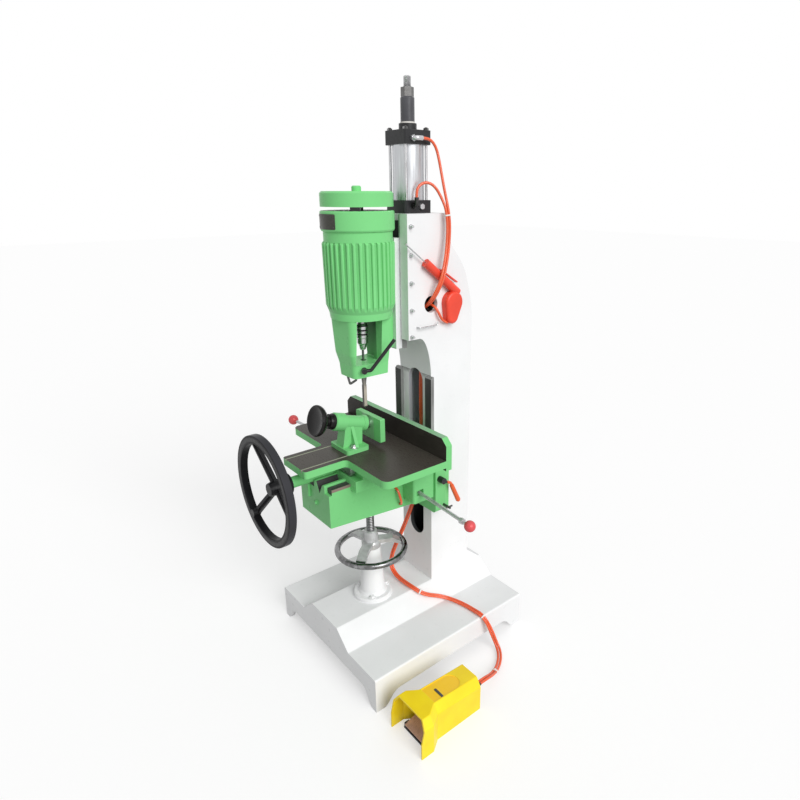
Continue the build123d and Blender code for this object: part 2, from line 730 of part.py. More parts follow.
def piston():
    low = COLUMN_TOP + LOWER_CAP_HEIGHT + PISTON_START
    disc = upright(0, back(CYLINDER_Y), BORE_DIA - 2 * RUNNING_FIT, low, low + PISTON_HEIGHT)
    return disc - upright(0, back(CYLINDER_Y), ROD_DIA + 2 * RUNNING_FIT, low - 1, low + PISTON_HEIGHT + 1)


def stroke_sleeve():
    low = sleeve_bottom()
    tube = upright(0, back(CYLINDER_Y), SLEEVE_DIA, low + SLIDE_FIT, low + SLEEVE_HEIGHT)
    tube = chamfer(tube.edges().group_by(Axis.Z)[-1], 3)
    return tube - upright(0, back(CYLINDER_Y), ROD_DIA + 2 * RUNNING_FIT, low - 1, low + SLEEVE_HEIGHT + 1)


def rod_nuts():
    """The nut on the sleeve and the nut under the slide's lug."""
    y = back(CYLINDER_Y)
    nuts = []
    for low in (sleeve_bottom() + SLEEVE_HEIGHT, LUG_BOTTOM_Z - 18):
        high = low + (ROD_NUT_HEIGHT if low > COLUMN_TOP else 18)
        nut = hex_bar((0, y, low), (0, y, high), ROD_NUT_SIZE)
        nuts.append(nut - upright(0, y, ROD_DIA + 2 * RUNNING_FIT, low - 1, high + 1))
    return nuts


def air_fittings():
    """An elbow on each cylinder cap, its leg in line with its hose, and a plug beside the lower one."""
    face = CAP_SIZE / 2
    fittings = []
    for route in (HOSE_UPPER_START, HOSE_LOWER_START):
        first, second = [Vector(x, back(y), z) for x, y, z in route[:2]]
        hip = first - (second - first).normalized() * FITTING_LEG
        seat = (face, hip.Y, hip.Z)
        body = hex_bar(seat, (face + FITTING_HEX_HEIGHT, hip.Y, hip.Z), FITTING_HEX)
        fittings.append(body + wire([Vector(*seat), hip, first], FITTING_BODY_DIA, FITTING_BODY_DIA * 0.6))
    z = COLUMN_TOP + LOWER_CAP_HEIGHT / 2
    y = back(PLUG_Y)
    return fittings + [hex_bar((face, y, z), (face + FITTING_HEX_HEIGHT, y, z), FITTING_HEX)]


# Head slide and motor


def head_slide():
    front = slab_z(slide_section(0, 0), SLIDE_BOTTOM_Z, DOVETAIL_TOP_Z)
    front += block(-SLIDE_HALF, SLIDE_HALF, back(SLIDE_FRONT_Y), back(SLIDE_NECK_Y), DOVETAIL_TOP_Z,
                   SLIDE_TOP_Z)
    reach = back(CYLINDER_Y) + ROD_DIA
    lug = block(
        -LUG_WIDTH / 2, LUG_WIDTH / 2, back(SLIDE_REAR_Y), reach, LUG_BOTTOM_Z, LUG_BOTTOM_Z + LUG_HEIGHT)
    front += fillet(lug.edges().filter_by(Axis.Z).group_by(Axis.Y)[-1], 8)
    return front - upright(0, back(CYLINDER_Y), ROD_DIA, LUG_BOTTOM_Z - 1, LUG_BOTTOM_Z + LUG_HEIGHT + 1)


def motor_housing():
    """The ribbed motor frame: rounded ribs, drawn in at the foot, with a flat seat on the slide."""
    y = back(HEAD_Y)
    bore = MOTOR_BORE / 2
    rib_length = (RIB_DIA - RIB_ROOT_DIA) / 2
    rib = SlotCenterToCenter(2 * rib_length, RIB_WIDTH)
    middle = RIB_DIA / 2 - RIB_WIDTH / 2 - rib_length
    ribs = Circle(RIB_ROOT_DIA / 2) + [
        Rot(0, 0, 360 * i / RIB_COUNT) * Pos(middle, 0) * rib for i in range(RIB_COUNT)]
    ribbed = Pos(0, y, 0) * slab_z(ribs, MOTOR_BOTTOM_Z, RIB_TOP_Z)
    foot = MOTOR_BOTTOM_Z + RIB_FOOT_HEIGHT
    envelope = turned([
        (0, MOTOR_BOTTOM_Z), (RIB_ROOT_DIA / 2 - 3, MOTOR_BOTTOM_Z), (RIB_FOOT_DIA / 2, foot),
        (RIB_DIA / 2, RIB_TOP_Z - 5), (RIB_DIA / 2 - 4, RIB_TOP_Z), (0, RIB_TOP_Z)], 0, y)
    frame = ribbed & envelope
    frame += upright(0, y, NECK_DIA, RIB_TOP_Z, RING_BOTTOM_Z)
    frame -= upright(0, y, 2 * bore, MOTOR_BOTTOM_Z + KNEE_WALL, RING_BOTTOM_Z + 1)
    frame -= upright(0, y, BEARING_DIA, MOTOR_BOTTOM_Z - 1, MOTOR_BOTTOM_Z + KNEE_WALL + 1)
    return frame - block(-RIB_DIA, RIB_DIA, back(SLIDE_FRONT_Y), back(UPPER_FRONT_Y), MOTOR_BOTTOM_Z - 1,
                         SLIDE_TOP_Z + 1)


def motor_end_ring():
    """The motor's upper end shield, with the upper bearing's seat in its middle."""
    web = RING_TOP_Z - BEARING_WIDTH
    points = [(SHAFT_DIA / 2 + 2, RING_TOP_Z), (SHAFT_DIA / 2 + 2, web), (BEARING_DIA / 2, web)]
    points += [(BEARING_DIA / 2, web - BEARING_WIDTH), (BEARING_DIA / 2 + 8, web - BEARING_WIDTH)]
    points += [(BEARING_DIA / 2 + 12, web), (RING_DIA / 2 - 8, web), (RING_DIA / 2 - 8, RING_BOTTOM_Z)]
    points += [(RING_DIA / 2 - 2, RING_BOTTOM_Z), (RING_DIA / 2, RING_BOTTOM_Z + 4)]
    points += [(RING_DIA / 2, RING_TOP_Z - 3), (RING_DIA / 2 - 3, RING_TOP_Z)]
    return turned(points, 0, back(HEAD_Y))


def motor_fan_cover():
    low = RING_TOP_Z + COVER_GAP
    high = low + COVER_HEIGHT
    edge = COVER_DIA / 2
    points = [(0, high - COVER_WALL), (edge - COVER_WALL, high - COVER_WALL), (edge - COVER_WALL, low),
              (edge, low)]
    points += [(edge, high - 5), (edge - 5, high), (KNOB_DIA / 2, high),
               (KNOB_DIA / 2, high + KNOB_HEIGHT - 3)]
    points += [(KNOB_DIA / 2 - 3, high + KNOB_HEIGHT), (0, high + KNOB_HEIGHT)]
    return turned(points, 0, back(HEAD_Y))


def fan_cover_spacers():
    outer = COVER_DIA / 2
    pieces = []
    for i in range(SPACER_COUNT):
        turn = Pos(0, back(HEAD_Y), 0) * Rot(0, 0, SPACER_ANGLE + 360 * i / SPACER_COUNT)
        pieces.append(turn * block(
            outer - SPACER_DEPTH - 1, outer - 1, -SPACER_WIDTH / 2, SPACER_WIDTH / 2, RING_TOP_Z,
            RING_TOP_Z + COVER_GAP))
    return pieces


def stator():
    core = upright(0, back(HEAD_Y), MOTOR_BORE, STACK_BOTTOM_Z, STACK_TOP_Z)
    return core - upright(0, back(HEAD_Y), STATOR_BORE, STACK_BOTTOM_Z - 1, STACK_TOP_Z + 1)


def upper_bearing_low():
    return RING_TOP_Z - 2 * BEARING_WIDTH


def spindle_bearings():
    rings = []
    for low in (LOWER_BEARING_Z, upper_bearing_low()):
        ring = upright(0, back(HEAD_Y), BEARING_DIA, low, low + BEARING_WIDTH)
        rings.append(ring - upright(0, back(HEAD_Y), SHAFT_DIA + 2 * RUNNING_FIT, low - 1,
                                    low + BEARING_WIDTH + 1))
    return rings


def housing_level(height, size):
    """The housing's outline at one height: a box whose two front corners are rounded."""
    half, reach, corner = size
    y = back(HEAD_Y)
    plan = outline([
        (half, y - reach), (half, y + HOUSING_REAR), (-half, y + HOUSING_REAR), (-half, y - reach)])
    plan = fillet([v for v in plan.vertices() if v.Y < y], corner)
    return Pos(0, 0, height) * plan


def chuck_housing():
    """The box under the motor, drawn in towards the chisel, with a window through both sides."""
    y = back(HEAD_Y)
    levels = [
        (HOUSING_BOTTOM_Z, HOUSING_BOTTOM_SIZE), (HOUSING_NECK_Z, HOUSING_NECK_SIZE),
        (HOUSING_BELLY_Z, HOUSING_BELLY_SIZE), (FLANGE_BOTTOM_Z, HOUSING_TOP_SIZE)]
    housing = loft([housing_level(height, size) for height, size in levels], ruled=True)
    housing += turned([
        (0, FLANGE_BOTTOM_Z), (FLANGE_DIA / 2, FLANGE_BOTTOM_Z), (RIB_ROOT_DIA / 2 - 3, MOTOR_BOTTOM_Z),
        (0, MOTOR_BOTTOM_Z)], 0, y)
    housing += block(
        -PAD_WIDTH / 2, PAD_WIDTH / 2, y + HOUSING_REAR - 1, back(SLIDE_FRONT_Y), SLIDE_BOTTOM_Z + 4,
        FLANGE_BOTTOM_Z + 1)
    front = y - WINDOW_FRONT
    right = block(-1, RIB_DIA, front, y + WINDOW_REAR, WINDOW_BOTTOM_Z, FLANGE_BOTTOM_Z)
    rear = y + HOUSING_REAR - HOUSING_WALL
    left = block(-RIB_DIA, WINDOW_POST, front, rear, WINDOW_BOTTOM_Z, FLANGE_BOTTOM_Z)
    for window in (right, left):
        sills = window.edges().filter_by(Axis.X).group_by(Axis.Z)[0]
        housing -= fillet(sills, WINDOW_ROUND)
    housing -= upright(0, y, SHAFT_DIA + 8, FLANGE_BOTTOM_Z - 1, MOTOR_BOTTOM_Z + 1)
    housing -= upright(0, y, BEARING_DIA, LOWER_BEARING_Z, MOTOR_BOTTOM_Z + 1)
    housing -= upright(0, y, CHISEL_SHANK_DIA, HOUSING_BOTTOM_Z - 1, WINDOW_BOTTOM_Z + 1)
    lock = Plane(origin=(0, y, LOCK_Z), z_dir=lock_direction())
    return housing - extrude(lock * Circle(LOCK_ROD_DIA / 2 + RUNNING_FIT), amount=RIB_DIA)


def hollow_chisel():
    """The square hollow chisel: round shank, long tapered neck, square body with four sharp corners."""
    y = back(HEAD_Y)
    half = CHISEL_SIZE / 2
    shank = turned([
        (0, CHISEL_NECK_Z), (half, CHISEL_NECK_Z), (CHISEL_SHANK_DIA / 2, CHISEL_SHANK_BOTTOM_Z),
        (CHISEL_SHANK_DIA / 2, CHISEL_SHANK_TOP_Z), (0, CHISEL_SHANK_TOP_Z)], 0, y)
    body = block(-half, half, y - half, y + half, CHISEL_TIP_Z, CHISEL_NECK_Z + half)
    chisel = shank + body
    chisel -= upright(0, y, BIT_DIA + 4 * SLIDE_FIT, CHISEL_TIP_Z - 1, CHISEL_SHANK_TOP_Z + 1)
    bevel = turned([(0, CHISEL_TIP_Z - 1), (half + 3, CHISEL_TIP_Z - 1), (0, CHISEL_TIP_Z + 6)], 0, y)
    return chisel - bevel


# Spindle


def spindle_shaft():
    y = back(HEAD_Y)
    top = RING_TOP_Z + COVER_GAP + COVER_HEIGHT - COVER_WALL - 6
    return upright(0, y, SHAFT_DIA, CHUCK_TOP_Z, top)


def rotor():
    core = upright(0, back(HEAD_Y), ROTOR_DIA, STACK_BOTTOM_Z, STACK_TOP_Z)
    return core - upright(0, back(HEAD_Y), SHAFT_DIA + 2 * RUNNING_FIT, STACK_BOTTOM_Z - 1, STACK_TOP_Z + 1)


def cooling_fan():
    y = back(HEAD_Y)
    low = RING_TOP_Z + COVER_GAP + 5
    high = low + 20
    fan = upright(0, y, SHAFT_DIA + 20, low, high) + upright(0, y, FAN_DIA, high - 3, high)
    for i in range(FAN_BLADES):
        blade = block(SHAFT_DIA / 2 + 4, FAN_DIA / 2, -1.5, 1.5, low, high - 2)
        fan += Pos(0, y, 0) * Rot(0, 0, 360 * i / FAN_BLADES) * blade
    return fan - upright(0, y, SHAFT_DIA + 2 * RUNNING_FIT, low - 1, high + 1)


def drill_chuck():
    """A keyed chuck: knurled collar, grooved sleeve and tapered nose."""
    r = CHUCK_DIA / 2
    low = CHUCK_NOSE_Z
    high = CHUCK_TOP_Z
    points = [(BIT_DIA / 2, low), (r - 9, low), (r - 4, low + 16), (r - 1, low + 20), (r - 1, low + 34)]
    points += [(r, low + 36), (r, low + 44), (r - 2, low + 45), (r - 2, low + 48), (r, low + 49),
               (r, low + 56)]
    points += [(r - 2, low + 57), (r - 2, low + 60), (r, low + 61), (r, high - 6), (r - 4, high), (0, high)]
    points += [(0, low + 26), (BIT_DIA / 2, low + 26)]
    return turned(points, 0, back(HEAD_Y))


def auger_bit():
    """The bit runs from the chuck's nose through the chisel's bore, with a flared cutting head below."""
    y = back(HEAD_Y)
    head = turned([(0, BIT_TIP_Z - 3), (CHISEL_SIZE / 2, BIT_TIP_Z + 3.4), (0, BIT_TIP_Z + 3.4)], 0, y)
    return upright(0, y, BIT_DIA - 1, BIT_TIP_Z + 3, CHUCK_NOSE_Z + 26) + head


# Chisel lock lever


def lock_direction():
    angle = math.radians(LOCK_ANGLE)
    return Vector(math.cos(angle), math.sin(angle), 0)


def chisel_lock_lever():
    """A clamping screw with a cranked handle that rises beside the housing."""
    out = lock_direction()
    across = Vector(-out.Y, out.X, 0)
    middle = Vector(0, back(HEAD_Y), LOCK_Z)
    tip = middle + out * (CHISEL_SHANK_DIA / 2 + SLIDE_FIT)
    hub = middle + out * LOCK_REACH
    elbow = hub + across * LOCK_ELBOW
    end = elbow + Vector(*LOCK_HANDLE)
    lever = rod(tip, hub, LOCK_ROD_DIA) + rod(middle + out * LOCK_SEAT, hub + out * LOCK_ROD_DIA,
                                              LOCK_HUB_DIA)
    return lever + wire([hub, elbow, end], LOCK_ROD_DIA, LOCK_ROD_DIA)


# Knee


def vee_points(gap):
    """The vee way's section from its left lobe to its right lobe, as (x, z)."""
    slope = VEE_HALF / (VEE_TOP_Z - VEE_BOTTOM_Z)
    reach = VEE_HALF - gap
    depth = reach / slope
    return [(VEE_X - reach, VEE_TOP_Z), (VEE_X, VEE_TOP_Z - depth), (VEE_X + reach, VEE_TOP_Z)]


def knee_casting():
    half = KNEE_WIDTH / 2
    front = back(KNEE_FRONT_Y)
    rear = back(KNEE_BACK_Y)
    side = outline([
        (front, KNEE_NOSE_Z), (rear, KNEE_HEEL_Z), (rear, KNEE_TOP_Z), (front, KNEE_TOP_Z)])
    arm = slab_x(side, -half, half)
    lobe = VEE_HALF + VEE_LOBE
    rail = outline(
        [(VEE_X - lobe, KNEE_TOP_Z), (VEE_X - lobe, VEE_TOP_Z)] + vee_points(0)
        + [(VEE_X + lobe, VEE_TOP_Z), (VEE_X + lobe, KNEE_TOP_Z)])
    tops = [v for v in rail.vertices() if v.Y > VEE_TOP_Z - 1]
    arm += slab_y(fillet(tops, VEE_LOBE * 0.45), front, rear)
    arm += block(VEE_X + lobe, half, front + FLAT_WAY_INSET, rear, KNEE_TOP_Z, FLAT_WAY_TOP_Z)
    groove = vee_points(0)
    arm -= slab_y(outline(groove), front - 1, rear)
    inner = outline([
        (front + KNEE_WALL, KNEE_HEEL_Z - 1), (rear - KNEE_WALL, KNEE_HEEL_Z - 1),
        (rear - KNEE_WALL, KNEE_TOP_Z - KNEE_DECK), (front + KNEE_WALL, KNEE_TOP_Z - KNEE_DECK)])
    arm -= slab_x(inner, KNEE_WALL - half, half - KNEE_WALL)
    boss_low = KNEE_NOSE_Z - (KNEE_NOSE_Z - KNEE_HEEL_Z) * SCREW_Y / KNEE_BACK_Y
    arm += upright(0, back(SCREW_Y), SCREW_BOSS_DIA, boss_low, KNEE_TOP_Z - KNEE_DECK + 1)
    arm -= upright(0, back(SCREW_Y), SCREW_DIA, boss_low - 1, SCREW_TOP_Z)
    plate_half = KNEE_PLATE_WIDTH / 2
    seat = back(WAY_FRONT_Y) - SLIDE_FIT
    plate = block(-plate_half, plate_half, rear, seat, KNEE_PLATE_BOTTOM_Z, KNEE_PLATE_TOP_Z)
    lip = block(
        WAY_OUTER + SLIDE_FIT, plate_half, seat, back(WAY_FRONT_Y) + WAY_THICKNESS, KNEE_PLATE_BOTTOM_Z,
        KNEE_PLATE_TOP_Z)
    plate += mirrored(lip)
    plate = fillet(plate.edges().filter_by(Axis.Y).group_by(SortBy.LENGTH)[-1], 12)
    side_block = block(half, BLOCK_OUT, back(BLOCK_FRONT_Y), rear, BLOCK_BOTTOM_Z, BLOCK_TOP_Z)
    side_block = fillet(side_block.edges().filter_by(Axis.Z).group_by(Axis.X)[-1], 8)
    x, y, z = RIGHT_PIVOT
    gap = RIGHT_HUB_HEIGHT / 2 + SLIDE_FIT
    side_block -= block(x - RIGHT_HUB_DIA, BLOCK_OUT + 1, back(BLOCK_FRONT_Y) - 1, rear - KNEE_WALL,
                        z - gap, z + gap)
    side_block -= upright(x, back(y), RIGHT_PIN_DIA + 2 * RUNNING_FIT, BLOCK_BOTTOM_Z + 8, BLOCK_TOP_Z + 1)
    casting = arm + plate + side_block
    for end in (HOSE_KNEE_ROUTE[0], HOSE_KNEE_ROUTE[-1]):
        casting -= rod((end[0], back(end[1]), end[2]), (half + 1, back(end[1]), end[2]), KNEE_HOSE_HOLE)
    casting -= rod(
        (KNEE_PLATE_WIDTH / 2 - 20, back(LOCK_SCREW_Y), LOCK_SCREW_Z),
        (KNEE_PLATE_WIDTH / 2 + 1, back(LOCK_SCREW_Y), LOCK_SCREW_Z), LOCK_SCREW_DIA + 2 * RUNNING_FIT)
    casting -= rod(
        (plate_half - 16, back(CLAMP_HUB[0]), CLAMP_HUB[1]),
        (plate_half + 1, back(CLAMP_HUB[0]), CLAMP_HUB[1]),
        CLAMP_ROD_DIA + 2 * RUNNING_FIT)
    return casting


def knee_keepers():
    """Strips that hold the knee to the back of the column's ways, one on each side."""
    low = back(WAY_FRONT_Y) + WAY_THICKNESS
    inner = COLUMN_WIDTH / 2 + 2
    strip = block(
        inner, KNEE_PLATE_WIDTH / 2, low + SLIDE_FIT, low + KEEPER_THICKNESS, KNEE_PLATE_BOTTOM_Z,
        KNEE_PLATE_TOP_Z)
    strip += block(
        WAY_OUTER + 2, KNEE_PLATE_WIDTH / 2, low, low + KEEPER_THICKNESS, KNEE_PLATE_BOTTOM_Z,
        KNEE_PLATE_TOP_Z)
    return [strip, mirror(strip, Plane.YZ)]


def elevating_screw():
    bar = upright(0, back(SCREW_Y), SCREW_DIA, SCREW_BOTTOM_Z, SCREW_TOP_Z)
    return chamfer(bar.edges().group_by(Axis.Z)[0], 2)


def elevating_wheel():
    """A dished handwheel whose hub is the nut of the elevating screw."""
    low = PEDESTAL_TOP_Z + SLIDE_FIT
    wheel = turned([
        (0, low), (LIFT_HUB_DIA / 2 + 4, low), (LIFT_HUB_DIA / 2 + 4, low + 18),
        (LIFT_HUB_DIA / 2, low + 24),
        (LIFT_HUB_DIA / 2 - 6, LIFT_HUB_TOP_Z - 3), (LIFT_HUB_DIA / 2 - 9, LIFT_HUB_TOP_Z),
        (0, LIFT_HUB_TOP_Z)], 0, 0)
    middle = LIFT_RIM_R - LIFT_RIM_DIA / 2
    wheel += Pos(0, 0, LIFT_RIM_Z) * Torus(middle, LIFT_RIM_DIA / 2)
    rise = low + 20
    for i in range(LIFT_SPOKES):
        half = LIFT_SPOKE_DEPTH / 2
        arm = slab_y(outline([
            (LIFT_HUB_DIA / 2 - 6, rise - half), (middle - 40, rise - half - 4),
            (middle, LIFT_RIM_Z - half + 2),
            (middle, LIFT_RIM_Z + half - 2), (middle - 38, rise + half - 3),
            (LIFT_HUB_DIA / 2 - 6, rise + half)]),
            -LIFT_SPOKE_WIDTH / 2, LIFT_SPOKE_WIDTH / 2)
        wheel += Rot(0, 0, LIFT_SPOKE_TURN + 360 * i / LIFT_SPOKES) * arm
    wheel -= upright(0, 0, SCREW_DIA + 2 * RUNNING_FIT, low - 1, LIFT_HUB_TOP_Z + 1)
    return Pos(0, back(SCREW_Y), 0) * wheel


# Saddle


def cross_section(gap):
    """The saddle's dovetail in (Y, Z), opened by a gap."""
    low = SADDLE_TOP_Z
    high = TABLE_TOP_Z - TABLE_THICKNESS
    y = back(CROSS_Y)
    foot = CROSS_FOOT_HALF + gap
    head = CROSS_HEAD_HALF + gap
    return outline([(y - foot, low), (y + foot, low), (y + head, high), (y - head, high)])


def saddle():
    half = SADDLE_WIDTH / 2
    front = back(SADDLE_FRONT_Y)
    rear = back(SADDLE_BACK_Y)
    bottom = KNEE_TOP_Z + SLIDE_FIT
    side = outline([
        (front, bottom), (rear, bottom), (rear, SADDLE_TOP_Z), (back(STEP_Y), SADDLE_TOP_Z),
        (back(STEP_Y), STEP_Z),
        (front, STEP_Z)])
    casting = slab_x(side, -half, half)
    dovetail = slab_x(cross_section(0), -half, half)
    casting += dovetail - block(-half, half, front, rear, TABLE_TOP_Z - TABLE_THICKNESS - SLIDE_FIT,
                                TABLE_TOP_Z)
    lobe = VEE_HALF + VEE_LOBE + 1
    casting -= block(VEE_X - lobe, VEE_X + lobe, front - 1, rear + 1, bottom - 1, VEE_TOP_Z + SLIDE_FIT)
    casting -= block(VEE_X + lobe - 1, KNEE_WIDTH / 2 + 1, front - 1, rear + 1, bottom - 1,
                     FLAT_WAY_TOP_Z + SLIDE_FIT)
    ridge = vee_points(SLIDE_FIT * 2)
    casting += slab_y(outline([(x, z + SLIDE_FIT) for x, z in ridge]), front, rear)
    axis = (FEED_X, FEED_Z)
    sleeve = back(SLEEVE_BAR_FRONT_Y)
    casting += rod((axis[0], sleeve, axis[1]), (axis[0], front + 1, axis[1]), SLEEVE_BAR_DIA)
    casting -= rod((axis[0], sleeve - 1, axis[1]), (axis[0], back(JOURNAL_BACK_Y) + 2, axis[1]),
                   FEED_SHAFT_DIA + 2 * RUNNING_FIT)
    room = MODULE * (PINION_TEETH / 2 + 1) + POCKET_ROOM
    return casting - block(
        axis[0] - room, axis[0] + room, back(PINION_FRONT_Y) - POCKET_ROOM,
        back(PINION_BACK_Y) + POCKET_ROOM,
        axis[1] - room, SADDLE_TOP_Z + 1)


# Feed wheel, pinion and rack


def pinion_outline():
    """Involute teeth: each flank is three points of the involute, with a straight root below it."""
    pitch_r = MODULE * PINION_TEETH / 2
    base_r = pitch_r * math.cos(math.radians(PRESSURE_ANGLE))
    root_r = pitch_r - 1.25 * MODULE
    tip_r = pitch_r + MODULE
    alpha = math.radians(PRESSURE_ANGLE)
    half_pitch = math.pi / (2 * PINION_TEETH) - BACKLASH / (2 * pitch_r) + math.tan(alpha) - alpha

    def half_angle(r):
        angle = math.acos(min(1, base_r / r))
        return half_pitch - math.tan(angle) + angle

    flank = [(root_r, half_angle(base_r))] + [(r, half_angle(r)) for r in (base_r, pitch_r, tip_r)]
    points = []
    for i in range(PINION_TEETH):
        middle = math.pi / 2 + math.pi * (2 * i + 1) / PINION_TEETH
        tooth = [(r, middle - a) for r, a in flank] + [(r, middle + a) for r, a in reversed(flank)]
        points += [(r * math.cos(a), r * math.sin(a)) for r, a in tooth]
    return outline(points)


def pinion_shaft():
    y0 = back(FEED_HUB_FRONT_Y)
    y1 = back(JOURNAL_BACK_Y)
    shaft = rod((FEED_X, y0, FEED_Z), (FEED_X, y1, FEED_Z), FEED_SHAFT_DIA)
    return shaft + slab_y(Pos(FEED_X, FEED_Z) * pinion_outline(), back(PINION_FRONT_Y), back(PINION_BACK_Y))


def feed_rack():
    """A rack under the table, one tooth centred over the pinion at rest."""
    pitch = math.pi * MODULE
    pitch_z = FEED_Z + MODULE * PINION_TEETH / 2
    tip = pitch_z - MODULE
    root = pitch_z + 1.25 * MODULE
    lean = math.tan(math.radians(PRESSURE_ANGLE))
    half = pitch / 4 - BACKLASH / 4
    teeth = math.ceil(TABLE_TRAVEL / pitch) + 4
    points = [(-(teeth + 0.5) * pitch, TABLE_TOP_Z - TABLE_THICKNESS), (-(teeth + 0.5) * pitch, root)]
    for i in range(-teeth, teeth + 1):
        x = i * pitch
        wide = half + (root - pitch_z) * lean
        narrow = half - (pitch_z - tip) * lean
        points += [(x - wide, root), (x - narrow, tip), (x + narrow, tip), (x + wide, root)]
    points += [((teeth + 0.5) * pitch, root), ((teeth + 0.5) * pitch, TABLE_TOP_Z - TABLE_THICKNESS)]
    return slab_y(Pos(FEED_X, 0) * outline(points), back(PINION_FRONT_Y), back(PINION_BACK_Y))


def feed_wheel():
    """A handwheel with three ribbed spokes; the rim stands forward of the hub."""
    hub_front = back(FEED_HUB_FRONT_Y)
    disc = back(FEED_DISC_FRONT_Y)
    sleeve = back(SLEEVE_BAR_FRONT_Y) - SEAT_GAP
    rim_front = back(FEED_RIM_FRONT_Y)
    hub_r = FEED_HUB_DIA / 2
    hub = [(0, hub_front), (hub_r - 2, hub_front), (hub_r, hub_front + 6), (hub_r + 5, disc - 4),
           (hub_r + 5, disc)]
    hub += [(FEED_DISC_DIA / 2, disc), (FEED_DISC_DIA / 2, sleeve), (0, sleeve)]
    wheel = revolve(outline(hub), Axis.Y)
    inner = FEED_RIM_R - FEED_RIM_WIDTH
    rim = outline([
        (inner, rim_front), (FEED_RIM_R, rim_front), (FEED_RIM_R, rim_front + FEED_RIM_DEPTH),
        (inner, rim_front + FEED_RIM_DEPTH)])
    wheel += revolve(fillet(rim.vertices(), FEED_RIM_DEPTH * 0.35), Axis.Y)
    middle = FEED_RIM_R - FEED_RIM_WIDTH / 2
    spoke_back = rim_front + FEED_RIM_DEPTH
    arm_low = hub_front + 12
    arm = [(hub_r - 4, arm_low), (middle, rim_front + 3), (middle, spoke_back - 1),
           (hub_r - 4, arm_low + 20)]
    thin = [(hub_r - 4, arm_low + 8), (middle, rim_front + 7), (middle, spoke_back - 3),
            (hub_r - 4, arm_low + 14)]
    spokes = []
    for i in range(FEED_SPOKES):
        turn = Rot(0, -FEED_SPOKE_ANGLE - 360 * i / FEED_SPOKES, 0)
        web = slab_z(outline(arm), -FEED_SPOKE_DEPTH / 4, FEED_SPOKE_DEPTH / 4)
        flange = slab_z(outline(thin), -FEED_SPOKE_WIDTH / 2, FEED_SPOKE_WIDTH / 2)
        spokes.append(turn * (web + flange))
    for spoke in spokes:
        wheel += spoke
    seat = Rot(0, -FEED_SPOKE_ANGLE - 360 / FEED_SPOKES, 0)
    handle_boss = rod((middle - 14, rim_front, 0), (middle - 14, spoke_back, 0), FEED_BOSS_DIA)
    wheel += seat * handle_boss
    wheel = Pos(FEED_X, 0, FEED_Z) * wheel
    return wheel - rod((FEED_X, hub_front - 40, FEED_Z), (FEED_X, sleeve + 1, FEED_Z), FEED_SHAFT_DIA)


# Table and fence


def table():
    half = TABLE_WIDTH / 2
    tongue = TONGUE_WIDTH / 2
    low = TABLE_TOP_Z - TABLE_THICKNESS
    front = back(TABLE_FRONT_Y)
    nose = back(TONGUE_FRONT_Y)
    rear = back(FENCE_FRONT_Y)
    right = [(tongue, nose), (tongue, front), (half, front), (half, rear)]
    plan = outline(right + [(-x, y) for x, y in reversed(right)])
    corners = plan.vertices()
    plan = fillet([v for v in corners if abs(v.X) > tongue + 1 and v.Y < front + 1], TABLE_CORNER)
    plan = fillet([v for v in plan.vertices() if abs(v.Y - front) < 1 and abs(v.X) < tongue + 1],
                  INNER_CORNER)
    plan = fillet([v for v in plan.vertices() if v.Y < nose + 1], TONGUE_CORNER)
    top = slab_z(plan, low, TABLE_TOP_Z)
    rail_rear = rear - 4
    rails = block(
        -RAIL_LENGTH / 2, RAIL_LENGTH / 2, back(RAIL_FRONT_Y), rail_rear, SADDLE_TOP_Z + SLIDE_FIT, low)
    top += rails - slab_x(cross_section(SLIDE_FIT), -half, half)
    groove = block(
        GROOVE_X - GROOVE_WIDTH / 2, GROOVE_X + GROOVE_WIDTH / 2, nose - 1, back(GROOVE_BACK_Y),
        TABLE_TOP_Z - GROOVE_DEPTH, TABLE_TOP_Z + 1)
    top -= mirrored(groove)
    x, y, z = LEFT_PIVOT
    return top - upright(x, back(y), LEVER_ROD_DIA + 2 * RUNNING_FIT, low - 1, low + TABLE_THICKNESS / 2)


def fence():
    half = TABLE_WIDTH / 2
    face = outline([
        (-half, FENCE_BOTTOM_Z), (half, FENCE_BOTTOM_Z), (half, FENCE_TOP_Z - FENCE_CHAMFER),
        (half - FENCE_CHAMFER, FENCE_TOP_Z), (FENCE_CHAMFER - half, FENCE_TOP_Z),
        (-half, FENCE_TOP_Z - FENCE_CHAMFER)])
    return slab_y(face, back(FENCE_FRONT_Y), back(FENCE_FRONT_Y) + FENCE_THICKNESS)


# Vise


def vise_plane():
    """The vise's own frame: origin at the wheel, Z along the screw towards the fence."""
    tilt = math.radians(VISE_TILT)
    along = Vector(0, math.cos(tilt), -math.sin(tilt))
    return Plane(origin=(0, back(VISE_FRONT_Y), VISE_FRONT_Z), x_dir=(1, 0, 0), z_dir=along)


def on_screw(points):
    """A body turned about the vise's screw line, from points (radius, distance along the line)."""
    return vise_plane() * revolve(Plane.XZ * outline(points), Axis.Z)


def screw_point(distance):
    tilt = math.radians(VISE_TILT)
    return (VISE_FRONT_Y + distance * math.cos(tilt), VISE_FRONT_Z - distance * math.sin(tilt))


